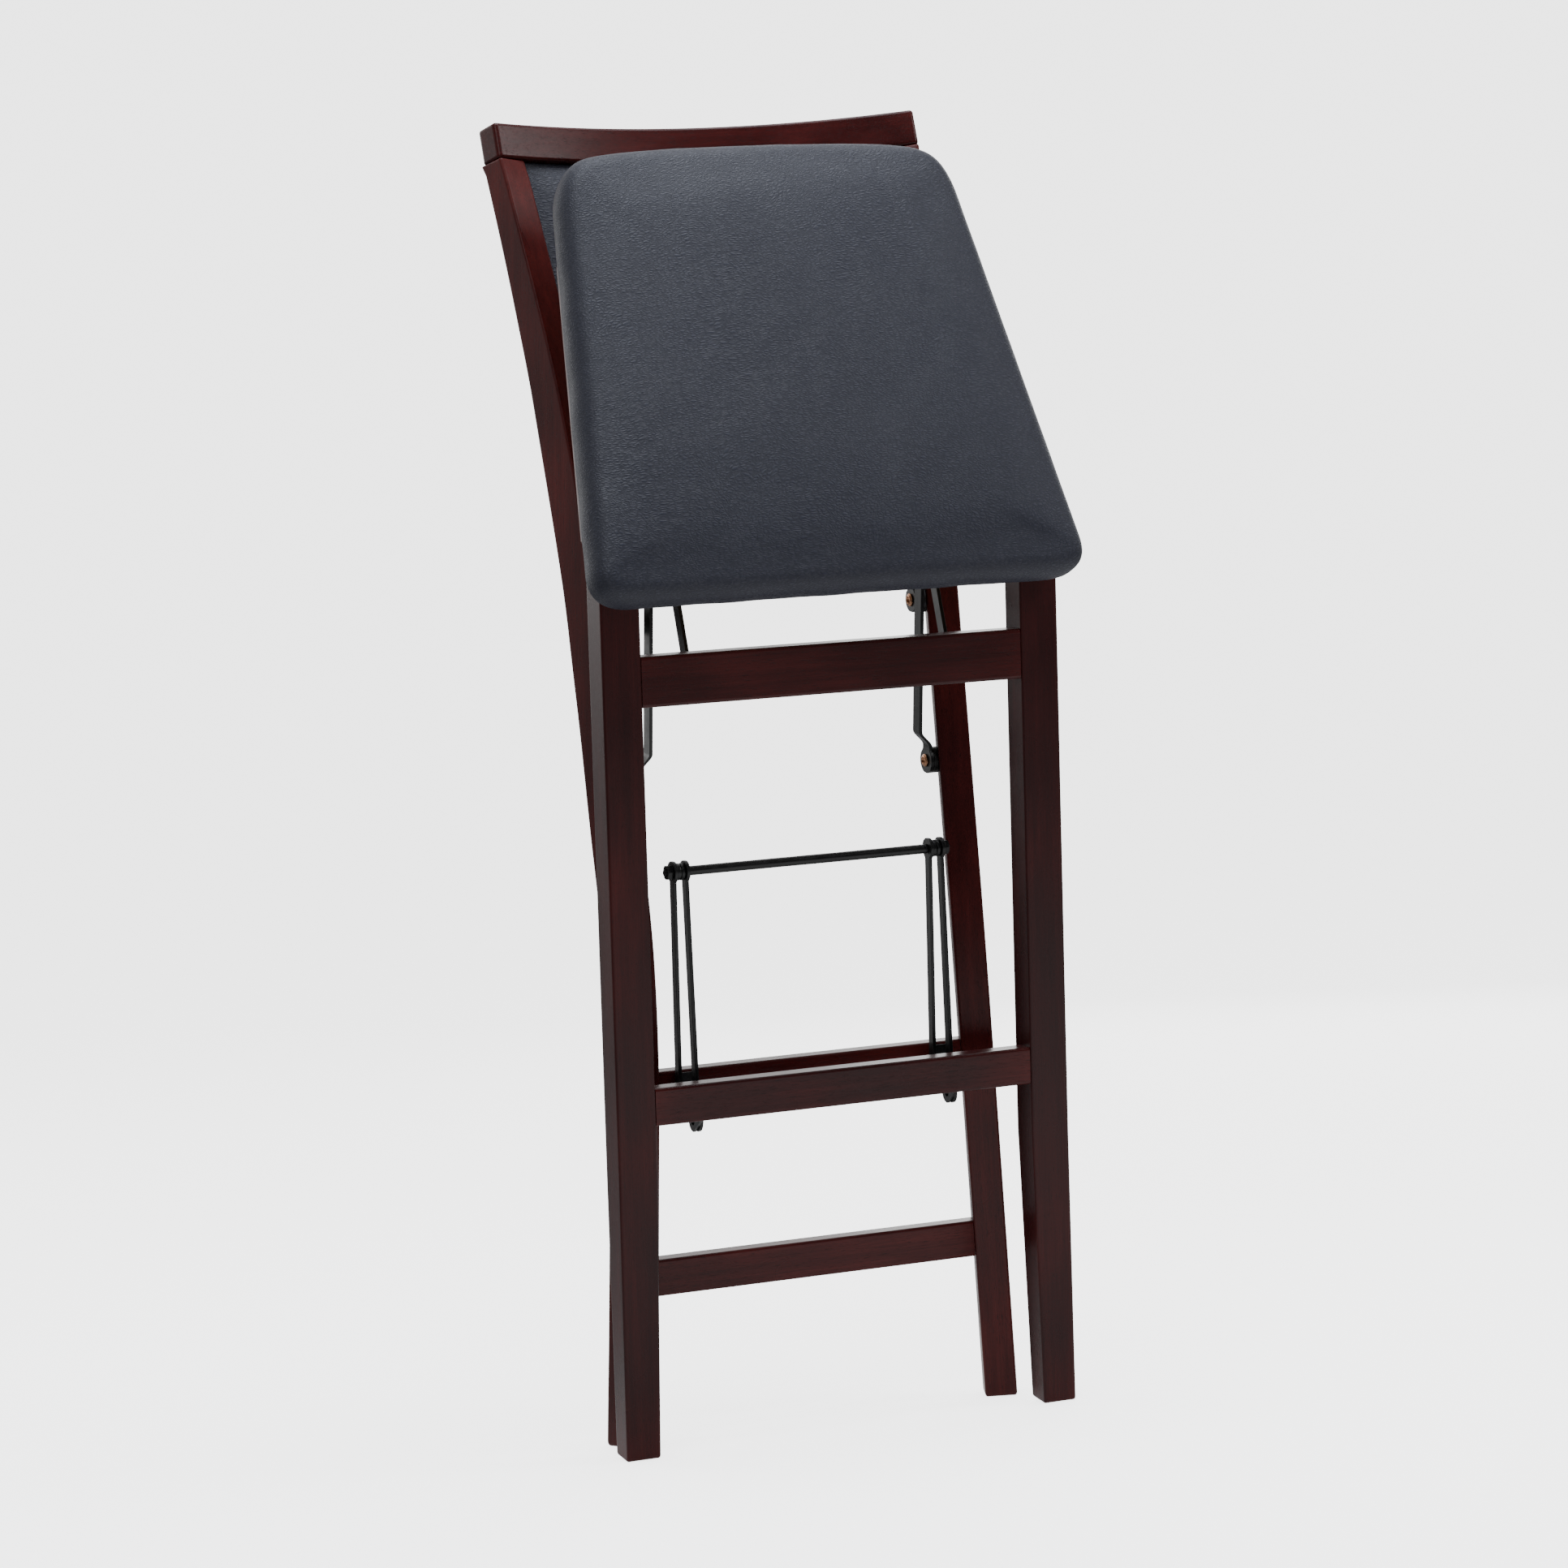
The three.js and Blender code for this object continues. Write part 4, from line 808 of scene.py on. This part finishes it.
def pad_mesh(rings, side_count, crown):
    """A closed pad: rim rings from the underside up, a square patch over the top whose height
    crown gives, and a flat square patch below."""
    count = rings.shape[1]
    faces = [ring_quads(len(rings), count)]
    points = [rings.reshape(-1, 3)]
    offset = len(rings) * count
    for ring, top in ((rings[-1], True), (rings[0], False)):
        patch = square_patch(ring[:, :2], side_count)
        height = crown(patch) if top else np.full(patch.shape[:2], ring[0, 2])
        points.append(np.concatenate([patch, height[..., None]], axis=-1).reshape(-1, 3))
        faces.append(grid_quads(side_count + 1, side_count + 1) + offset)
        offset += (side_count + 1) ** 2
    return np.vstack(points), np.vstack(faces)


def points_of(mesh):
    """A mesh's points, as one row of numbers."""
    points = np.zeros(len(mesh.vertices) * 3, np.float32)
    mesh.vertices.foreach_get("co", points)
    return points


def swell(piece, pressure, cap, held):
    """Cloth with air pressure inside for twenty frames, held along the held points. Each point's
    move then becomes the mean of itself and its neighbours' mean, over and over, as the foam below
    evens it, and no move is longer than cap."""
    last_frame = 20
    evening_rounds = 40
    mesh = piece.data
    group = piece.vertex_groups.new(name="held")
    group.add([int(k) for k in np.flatnonzero(held)], 1.0, "REPLACE")
    start = points_of(mesh)
    cloth = piece.modifiers.new("swell", "CLOTH")
    settings = cloth.settings
    settings.use_pressure = True
    settings.uniform_pressure_force = pressure
    settings.effector_weights.gravity = 0.0
    settings.vertex_group_mass = "held"
    settings.quality = 6
    settings.tension_stiffness = 18.0
    settings.compression_stiffness = 18.0
    settings.shear_stiffness = 8.0
    settings.bending_stiffness = 0.6
    cloth.collision_settings.use_collision = False
    scene = bpy.context.scene
    for number in range(1, last_frame + 1):
        scene.frame_set(number)
    depsgraph = bpy.context.evaluated_depsgraph_get()
    swollen = points_of(piece.evaluated_get(depsgraph).data)
    piece.modifiers.remove(cloth)
    move = (swollen - start).reshape(-1, 3).astype(float)
    ends = np.zeros(len(mesh.edges) * 2, np.int32)
    mesh.edges.foreach_get("vertices", ends)
    first, second = ends.reshape(-1, 2).T
    neighbours = np.bincount(ends, minlength=len(move))[:, None]
    for _ in range(evening_rounds):
        total = np.zeros(move.shape)
        np.add.at(total, first, move[second])
        np.add.at(total, second, move[first])
        move = (move + total / neighbours) / 2
    length = np.linalg.norm(move, axis=1, keepdims=True)
    move *= np.minimum(1, cap / np.maximum(length, 1e-9))
    mesh.vertices.foreach_set("co", start + move.ravel().astype(np.float32))
    mesh.update()
    piece.vertex_groups.remove(group)
    scene.frame_set(1)


def seat_cushion():
    """The seat pad: a rolled side of a quarter circle, on which a crown is added that rises from
    the edge inward as 1 - exp(-d). There d is the distance to the edge in units of its reach (the
    three sides joined as the root of the sum of inverse squares), so the corners stay full."""
    edge = np.roll(seat_edge(EDGE_POINTS), EDGE_POINTS // 8, axis=0)
    step = np.linalg.norm(np.roll(edge, -1, axis=0) - edge, axis=1)
    arc = np.concatenate([[0], np.cumsum(step)[:-1]])
    waves = 0.35 * np.sin(arc / 13.2 + 0.7) + 0.25 * np.sin(arc / 7.3 + 2.1)
    bottom = -BOARD_UNDERSIDE + 0.5
    roll = np.linspace(0, math.pi / 2, 10)
    top_radius = 14.0
    base = -3.0
    proud = 0.8
    crown_height = 12.5
    side_reach, front_reach, rear_reach = 27.0, 72.0, 40.0
    room = 1.0
    profile = [(4.5, bottom), (1.8, bottom + 1.0), (0.9, bottom + 3.2), (0.5, bottom + 7.0)]
    profile += [(0.3 + top_radius * (1 - math.cos(a)), base + top_radius * math.sin(a)) for a in roll]

    def rise(place):
        """How far the crown lifts the vinyl at a place on the seat."""
        x, s = np.moveaxis(place, -1, 0)
        side = SEAT_FRONT_HALF + room - SEAT_TAPER * s - np.abs(x)
        steps = [side / side_reach, (s + room) / front_reach, (SEAT_DEPTH + room - s) / rear_reach]
        inverse = sum(np.clip(step, 0.01, None) ** -2.0 for step in steps)
        return crown_height * (1 - np.exp(-(inverse ** -0.5)))

    # The side is a little uneven low down, as vinyl is where it is pulled round a board's edge.
    rings = []
    for inset, height in profile:
        slack = np.clip((height - bottom) / 3.0, 0, 1) * np.clip((8.0 - height) / 12.0, 0, 1)
        moved = moved_in(edge, (inset - proud - waves * slack)[:, None])
        lifted = height + rise(moved) * np.clip((height - base) / 4.0, 0, 1)
        rings.append(np.column_stack([moved, lifted]))

    def crown(patch):
        """The top's height at each point of the patch."""
        return base + top_radius + rise(patch)

    points, faces = pad_mesh(np.array(rings), EDGE_POINTS // 4, crown)
    piece = add_piece(
        "seat_cushion_vinyl", to_row(from_seat(points)), faces, VINYL, "seat", ["seat_cushion"], sharp=180.0)
    row = points_of(piece.data).reshape(-1, 3)
    under = to_row(from_seat(np.array([0.0, 0.0, bottom])))
    normal = to_row(from_seat(np.array([0.0, 0.0, bottom + 1.0]))) - under
    above = (row - under) @ (normal / np.linalg.norm(normal)) * MM
    held_height = 7.0
    swell(piece, pressure=4.0, cap=0.0016, held=above < held_height)
    finer = piece.modifiers.new("finer", "SUBSURF")
    finer.levels = 1
    finer.render_levels = 1


def seat_hem():
    """The vinyl folded under the seat board: a thin closed profile of inset and height, carried
    round the seat's edge."""
    edge = seat_edge(EDGE_POINTS)
    profile = [(4.2, -14.1), (4.0, -14.4), (4.3, -14.75), (5.0, -14.9), (8.2, -14.9), (8.8, -14.7),
               (9.0, -14.4), (8.9, -14.1)]
    rings = stepped_rings(edge, [*profile, profile[0]])
    add_piece(
        "seat_hem_vinyl", to_row(from_seat(rings)), ring_quads(len(rings), len(edge)), VINYL, "seat",
        sharp=60.0)


# Back panel

def back_point(across, down, set_back):
    """A point of the back panel: across between the posts, down from the crest, set back from the
    crest's front face along its bow."""
    x0 = (2 * across - 1) * post_face(CREST_FOOT[1], CREST_FOOT[2])
    bow = CREST_BOW - (CREST_RADIUS - np.sqrt(CREST_RADIUS**2 - x0**2))
    place = (CREST_FOOT + (bow + set_back)[..., None] * CREST_BACK
             + (-GAP - down * BACK_HEIGHT)[..., None] * CREST_UP)
    place[..., 0] = (2 * across - 1) * (post_face(place[..., 1], place[..., 2]) - GAP)
    return place


def back_pad(name, node, columns, rows, near, far):
    """A pad between two surfaces of across and down, closed round its four sides. The near one
    rolls halfway back to the far one at the sides, as 1 - (1 - u^14)(1 - v^10), with u and v from
    -1 to 1."""
    u, v = np.meshgrid(np.linspace(0, 1, columns + 1), np.linspace(0, 1, rows + 1))
    edge_u = 1 - np.abs(2 * u - 1) ** 14
    edge_v = 1 - np.abs(2 * v - 1) ** 10
    front = back_point(u, v, near(u, v) + (1 - edge_u * edge_v) * (far - near(u, v)) * 0.5)
    back = back_point(u, v, np.full(u.shape, far))
    wide = columns + 1
    quads = grid_quads(rows + 1, wide)
    layer = wide * (rows + 1)
    rim = np.concatenate([
        np.arange(wide), wide * np.arange(1, rows + 1) + columns,
        rows * wide + np.arange(columns - 1, -1, -1), wide * np.arange(rows - 1, 0, -1)])
    following = np.roll(rim, -1)
    sides = np.column_stack([rim, following, following + layer, rim + layer])
    points = np.concatenate([front.reshape(-1, 3), back.reshape(-1, 3)])
    piece = add_piece(
        name, to_row(points), np.vstack([quads, quads + layer, sides]), VINYL, "rear_frame", [node],
        sharp=50.0)


def back_panel():
    """The padded front and the plain rear of the back, on either side of its bent board."""
    front_set_back = 3.0
    front_crown = 9.0
    front_far = 9.0
    cover_near, cover_far = 15.6, 18.6

    def front_face(u, v):
        """A crown of (1 - u^4)(1 - v^4), with u and v from -1 to 1."""
        return front_set_back - front_crown * (1 - (2 * u - 1) ** 4) * (1 - (2 * v - 1) ** 4)

    def cover_face(u, v):
        """The same distance behind the crest's front face all over."""
        return np.full(u.shape, cover_near)

    back_pad(
        "back_cushion_vinyl", "back_cushion", columns=72, rows=44, near=front_face, far=front_far)
    back_pad(
        "back_cover_vinyl", "back_cover", columns=60, rows=36, near=cover_face, far=cover_far)


# Steel

def merged_copy(node):
    """A copy of a CAD piece's mesh with its doubles merged and its flat faces made whole."""
    mesh = frame["nodes"][node].data.copy()
    mesh.name = f"{node}_coat"
    shell = bmesh.new()
    shell.from_mesh(mesh)
    bmesh.ops.remove_doubles(shell, verts=shell.verts, dist=1e-5)
    bmesh.ops.dissolve_limit(
        shell, angle_limit=math.radians(0.6), verts=shell.verts, edges=shell.edges)
    return mesh, shell


def coated_piece(node, mesh, shell):
    """The finished steel piece that stands for a CAD node, with its edges rounded."""
    shell.to_mesh(mesh)
    shell.free()
    piece = finished_piece(f"{node}_coat", mesh, BLACK, body_of_node(node), [node], 32)
    rounding = piece.modifiers.new("rounding", "BEVEL")
    rounding.width = EDGE_ROUND
    rounding.segments = 2
    rounding.limit_method = "ANGLE"
    rounding.angle_limit = math.radians(40)
    rounding.harden_normals = True


def coated_copy(node):
    """A steel piece as the CAD gives it, with its edges rounded."""
    mesh, shell = merged_copy(node)
    coated_piece(node, mesh, shell)


def bent_strap(side, sign):
    """The strap's sidestep near its foot as a smooth bend: the offset across the stool follows
    1 - f^2 (3 - 2 f), where the CAD piece has the straight line 1 - f."""
    node = f"strap_{side}"
    mesh, shell = merged_copy(node)
    foot = to_row(STRAP_FOOT)
    along = to_row(STRAP_TOP) - foot
    along /= np.linalg.norm(along)
    ease = 1.5
    bend_start = JOG_START - ease
    bend_end = JOG_END + ease
    for reach in np.linspace(bend_start, bend_end, 13):
        everything = list(shell.verts) + list(shell.edges) + list(shell.faces)
        bmesh.ops.bisect_plane(
            shell, geom=everything, plane_co=foot + along * reach / MM, plane_no=along, dist=1e-7)
    for vertex in shell.verts:
        reach = float((np.array(vertex.co) - foot) @ along) * MM
        straight = min(max((reach - JOG_START) / (JOG_END - JOG_START), 0.0), 1.0)
        f = min(max((reach - bend_start) / (bend_end - bend_start), 0.0), 1.0)
        smooth = f * f * (3 - 2 * f)
        vertex.co.x += sign * STRAP_JOG * (straight - smooth) / MM
    coated_piece(node, mesh, shell)


def body_of_node(node):
    """The body that a CAD node rides on."""
    return frame["nodes"][node]["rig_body"]


def middle_of(node):
    """The middle of a CAD node's box, in metres."""
    low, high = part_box(node)
    return (np.array(low) + np.array(high)) / 2


def span_of(node):
    """Where a CAD node's box starts and ends across the stool, in millimetres."""
    low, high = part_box(node)
    return low[0] * MM, high[0] * MM


def turned_piece(name, node, profile, finish):
    """A profile of x and radius turned about the X axis through the middle of a CAD node."""
    sides = 40
    middle = middle_of(node)
    angle = np.linspace(0, 2 * math.pi, sides, endpoint=False)
    x, radius = np.array(profile, float).T / MM
    points = np.stack([
        np.broadcast_to(x[:, None], (len(x), sides)),
        middle[1] + radius[:, None] * np.cos(angle),
        middle[2] + radius[:, None] * np.sin(angle),
    ], axis=-1)
    add_piece(name, points, ring_quads(len(x), sides), finish, body_of_node(node), [node])


def rivet_head(start, sign, radius, thickness):
    """Tubular rivet head, from its hollow middle over a rolled rim to its flat underside."""
    shape = [
        (1.0, 0.0), (1.0, 0.30), (0.80, 0.40), (0.45, 0.44), (0.15, 0.49), (0.0, 0.58), (0.04, 0.70),
        (0.20, 0.80), (0.34, 0.83), (0.38, 0.84), (0.46, 0.93), (0.60, 0.99), (0.80, 1.0), (0.94, 0.985),
        (1.0, 0.94),
    ]
    return [(start + sign * thickness * a, radius * r) for a, r in shape]


def ends_of(node):
    """Where a CAD piece starts on the inner side and ends on the outer side, and its outward sign."""
    inner, outer = sorted(span_of(node), key=abs)
    return inner, outer, 1 if outer > 0 else -1


def headed_rivet(node, head_radius, head_thickness):
    """A rivet whose head lies on the inner side and whose shank runs outward."""
    chamfer = 0.4
    inner, outer, sign = ends_of(node)
    profile = rivet_head(inner, sign, head_radius, head_thickness)
    profile += [(inner + sign * head_thickness, SHANK), (outer - sign * chamfer, SHANK)]
    profile += [(outer, SHANK - chamfer), (outer, 0.0)]
    turned_piece(f"{node}_metal", node, profile, COPPER)


def domed_head(outer, sign, radius, thickness, dome):
    """A closed head on the outer side, through shares of its thickness and radius."""
    return [(outer - sign * thickness * (1 - a), radius * r) for a, r in dome]


def double_rivet(node, head_radius, head_thickness):
    """A rivet with a hollow head on the inner side and a plain domed one on the outer side."""
    dome = [(0.0, 0.93), (0.1, 1.0), (0.4, 0.97), (0.75, 0.8), (0.95, 0.5), (1.0, 0.2), (1.0, 0.0)]
    inner, outer, sign = ends_of(node)
    profile = rivet_head(inner, sign, head_radius, head_thickness)
    profile += [(inner + sign * head_thickness, SHANK), (outer - sign * head_thickness, SHANK)]
    profile += domed_head(outer, sign, head_radius, head_thickness, dome)
    turned_piece(f"{node}_metal", node, profile, COPPER)


def link_top_rivet(node, head_radius, head_thickness):
    """The link's upper rivet: a plain shank with a domed head on the outer side."""
    dome = [(0.0, 0.94), (0.12, 1.0), (0.5, 0.96), (0.85, 0.75), (1.0, 0.45), (1.0, 0.0)]
    chamfer = 0.3
    inner, outer, sign = ends_of(node)
    profile = [(inner, 0.0), (inner, SHANK - chamfer), (inner + sign * chamfer, SHANK)]
    profile += [(outer - sign * head_thickness, SHANK)]
    profile += domed_head(outer, sign, head_radius, head_thickness, dome)
    turned_piece(f"{node}_metal", node, profile, COPPER)


def leg_bolt(node, head_radius, head_thickness):
    """A pan-headed bolt: a domed head with a small socket in it, and a threaded shank whose radius
    falls and rises by 0.25 mm along a 1 mm pitch."""
    thread_depth = 0.25
    inner, outer, sign = ends_of(node)
    dome = [(1.1, 0.0), (1.1, 0.34), (0.5, 0.40), (0.12, 0.42), (0.0, 0.48), (0.03, 0.66), (0.16, 0.84),
            (0.4, 0.96), (0.62, 1.0), (0.93, 1.0), (1.0, 0.97)]
    profile = [(inner + sign * head_thickness * a, head_radius * r) for a, r in dome]
    start = inner + sign * head_thickness
    length = abs(outer - start)
    turns = np.arange(0.0, length - 1.0, THREAD_STEP)
    profile += [(start + sign * t, SHANK - thread_depth * (k % 2)) for k, t in enumerate(turns)]
    profile += [(outer - sign * 0.6, SHANK - thread_depth), (outer, SHANK - 0.9), (outer, 0.0)]
    turned_piece(f"{node}_coat", node, profile, BLACK)


def knuckle_rod():
    """The brace's cross rod: a smooth bar with shoulders, and a threaded stud at either end."""
    left, right = span_of("knuckle_rod")
    rod_left, rod_right = -110.6, 102.9
    radius = 3.9
    shoulder = 0.5
    thread_depth = 0.22
    thread_start, thread_end = 1.2, 6.0

    def thread(start, end):
        """A stud whose radius falls and rises along its thread."""
        steps = np.arange(start, end, THREAD_STEP)
        return [(x, SHANK - thread_depth * (k % 2)) for k, x in enumerate(steps)]

    profile = [(left, 0.0), (left, SHANK - 0.9), (left + 0.8, SHANK)]
    profile += thread(left + thread_start, left + thread_end)
    profile += [(rod_left - 0.1, SHANK), (rod_left, SHANK)]
    profile += [(rod_left, radius - shoulder), (rod_left + shoulder, radius)]
    profile += [(rod_right - shoulder, radius), (rod_right, radius - shoulder), (rod_right, SHANK)]
    profile += [(rod_right + 0.1, SHANK)]
    profile += thread(right - thread_end, right - thread_start)
    profile += [(right - 0.8, SHANK), (right, SHANK - 0.9), (right, 0.0)]
    turned_piece("knuckle_rod_coat", "knuckle_rod", profile, BLACK)


def knuckle_washers(node):
    """A stack of two thick washers with a shallow groove between them, each a turned profile."""
    left, right = span_of(node)
    middle = (left + right) / 2
    bore = WASHER_BORE
    radius = WASHER_RADIUS
    profile = [
        (left, bore), (left, radius - 0.7), (left + 0.25, radius - 0.2), (left + 0.8, radius),
        (middle - 0.8, radius), (middle - 0.3, radius - 0.25), (middle - 0.1, radius - 0.9),
        (middle + 0.1, radius - 0.9), (middle + 0.3, radius - 0.25), (middle + 0.8, radius),
        (right - 0.8, radius), (right - 0.25, radius - 0.2), (right, radius - 0.7), (right, bore),
        (left, bore),
    ]
    turned_piece(f"{node}_coat", node, profile, BLACK)


def hexagon_nut(node):
    """A hexagon nut: at the angle a its side lies at radius cos 30 / cos (a mod 60 - 30), and both
    faces are chamfered by a cone, so the corners sink below the rounded face."""
    angle = np.linspace(0, 2 * math.pi, 72, endpoint=False)
    left, right = (np.full(angle.shape, x) for x in span_of(node))
    middle = middle_of(node)
    flat = NUT_RADIUS * math.cos(math.pi / 6)
    side = flat / np.cos(np.mod(angle, math.pi / 3) - math.pi / 6)
    sink = (side - flat) * 0.55 + 0.05
    face = np.full(angle.shape, flat - 0.15)
    hole = np.full(angle.shape, WASHER_BORE)
    rings = [
        (left, hole), (left, face), (left + sink, side),
        (right - sink, side), (right, face), (right, hole), (left, hole),
    ]
    points = np.array([
        np.stack([x / MM, middle[1] + r * np.cos(angle) / MM, middle[2] + r * np.sin(angle) / MM], axis=-1)
        for x, r in rings])
    add_piece(
        f"{node}_coat", points, ring_quads(len(rings), len(angle)), BLACK, body_of_node(node), [node],
        sharp=20.0)


def steel_and_rivets():
    """The linkage on both sides, its rivets and bolts, and the brace's rod."""
    bars = ["link", "control_bar", "brace_rear", "brace_front", "seat_bracket", "seat_hinge",
            "apron_bracket", "foot_bracket", "stretcher_bracket", "strap_spacer", "link_spacer"]
    for side, sign in SIDES:
        bent_strap(side, sign)
        for bar in bars:
            coated_copy(f"{bar}_{side}")
        headed_rivet(f"strap_rivet_{side}", head_radius=5.4, head_thickness=2.4)
        headed_rivet(f"link_rivet_{side}", head_radius=5.4, head_thickness=2.4)
        headed_rivet(f"seat_rivet_{side}", head_radius=5.4, head_thickness=1.8)
        double_rivet(f"control_rivet_{side}", head_radius=5.2, head_thickness=1.8)
        link_top_rivet(f"link_top_rivet_{side}", head_radius=5.4, head_thickness=1.8)
        leg_bolt(f"leg_bolt_{side}", head_radius=6.3, head_thickness=3.0)
        knuckle_washers(f"knuckle_washer_{side}")
        hexagon_nut(f"knuckle_nut_{side}")
    knuckle_rod()


seat_cushion()
seat_hem()
back_panel()
for side_name, side_sign in SIDES:
    front_leg(side_name, side_sign)
    rear_leg(side_name, side_sign)
    seat_rail(side_name, side_sign)
crest_rail()
cross_rail("front_apron", APRON, leg_face, "front_frame", seed=0.21)
cross_rail("front_footrest", FOOTREST, leg_face, "front_frame", seed=0.43)
cross_rail("rear_low_stretcher", LOW_STRETCHER, post_face, "rear_frame", seed=0.64)
cross_rail("rear_mid_stretcher", MID_STRETCHER, post_face, "rear_frame", seed=0.87)
steel_and_rivets()

for node_name, node in frame["nodes"].items():
    if node.hide_render:
        continue
    if node_name in ("seat_board", "back_board"):
        finish = PLY
    elif "rivet" in node_name:
        finish = COPPER
    else:
        finish = BLACK
    node.data.materials.clear()
    node.data.materials.append(finish)


# Studio

def turn_to(thing, right, up, back, place):
    """Turns a lamp or a camera to its own three axes and puts it in its place."""
    rows = np.vstack([np.column_stack([right, up, back, place]), [0, 0, 0, 1]])
    thing.matrix_world = Matrix(rows.tolist())


def studio():
    """A pale floor under an even pale surround, with soft lamps above, in front and at the back."""
    floor_mesh = bpy.data.meshes.new("floor")
    reach = 30.0
    corners = [(-reach, -reach, 0), (reach, -reach, 0), (reach, reach, 0), (-reach, reach, 0)]
    floor_mesh.from_pydata(corners, [], [(0, 1, 2, 3)])
    floor = in_scene("floor", floor_mesh)
    paper, tree, shader = new_finish("pale_floor")
    seen = tree.nodes.new("ShaderNodeLightPath").outputs["Is Camera Ray"]
    # What the floor gives back to the legs is strongest in front of them, so they lighten downward.
    distance = tree.nodes.new("ShaderNodeVectorMath")
    distance.operation = "DISTANCE"
    feed(tree, distance.inputs[0], object_place(tree))
    feed(tree, distance.inputs[1], (0.4, -1.1, 0.0))
    bounce = levels(tree, distance.outputs["Value"], 0.4, 2.0, 1.4, 0.02)
    feed_inputs(tree, shader, {
        "Base Color": mixed(tree, seen, (0.32, 0.32, 0.32), (0.90, 0.90, 0.90)),
        "Roughness": 0.9, "Specular IOR Level": 0.1, "Emission Color": (1.0, 1.0, 1.0, 1),
        "Emission Strength": levels(tree, seen, 0.0, 1.0, bounce, 2.8)})
    floor_mesh.materials.append(paper)

    world = bpy.data.worlds.new("studio")
    world.use_nodes = True
    tree = world.node_tree
    # The surround lights the stool from behind more than from the front, and looks even itself.
    parts = tree.nodes.new("ShaderNodeSeparateXYZ")
    feed(tree, parts.inputs[0], tree.nodes.new("ShaderNodeTexCoord").outputs["Generated"])
    around = levels(tree, parts.outputs["Y"], -0.3, 0.7, 0.12, 1.5)
    seen = tree.nodes.new("ShaderNodeLightPath").outputs["Is Camera Ray"]
    feed_inputs(tree, tree.nodes["Background"], {
        "Color": (1.0, 1.0, 1.0, 1), "Strength": levels(tree, seen, 0.0, 1.0, around, 3.4)})
    bpy.context.scene.world = world

    def soft_light(name, place, aim, size, power, colour=(1.0, 1.0, 1.0)):
        """A rectangular lamp at a place, turned towards its aim, with its long sides level."""
        data = bpy.data.lights.new(name, "AREA")
        data.shape = "RECTANGLE"
        data.size, data.size_y = size
        data.energy = power
        data.color = colour
        place = np.array(place, float)
        back = place - np.array(aim, float)
        back /= np.linalg.norm(back)
        right = np.cross([0, 0, 1.0], back)
        right /= np.linalg.norm(right)
        turn_to(in_scene(name, data), right, np.cross(back, right), back, place)

    soft_light("key", (-1.6, -2.2, 2.6), (0, 0, 0.7), (1.6, 1.6), 24.0)
    soft_light("fill", (2.4, -1.6, 2.35), (0, 0, 0.9), (0.9, 0.9), 28.0)
    soft_light("top", (0.1, -0.3, 2.5), (0, 0, 0.9), (1.6, 1.2), 52.0, (0.90, 0.94, 1.0))
    soft_light("back_left", (-1.5, 2.7, 1.5), (0, 0, 0.6), (0.9, 1.5), 11.0)
    soft_light("back_right", (2.0, 2.4, 1.4), (0, 0, 0.6), (1.6, 2.0), 24.0)


def camera():
    """The camera that the photograph's perspective gives, found in the folded frame."""
    picture_width = 1932.0
    focal = 6356.62385
    azimuth = math.radians(23.5)
    elevation = math.radians(7.51583102)
    roll = math.radians(-1.69193406)
    distance = 4234.83749
    target = np.array([-3.91156088, 100.0, 522.430347])
    forward = np.array([
        math.sin(azimuth) * math.cos(elevation), math.cos(azimuth) * math.cos(elevation),
        -math.sin(elevation)])
    right = np.array([math.cos(azimuth), -math.sin(azimuth), 0.0])
    up = np.cross(right, forward)
    place = target - distance * forward
    turned_right = right * math.cos(roll) + up * math.sin(roll)
    turned_up = -right * math.sin(roll) + up * math.cos(roll)
    origin = to_row(np.zeros(3))
    axes = [(to_row(v) - origin) * MM for v in (turned_right, turned_up, -forward)]
    data = bpy.data.cameras.new("camera")
    data.sensor_width = 36.0
    data.lens = focal / picture_width * data.sensor_width
    data.clip_end = 100.0
    eye = in_scene("camera", data)
    turn_to(eye, *axes, to_row(place))
    bpy.context.scene.camera = eye


studio()
camera()
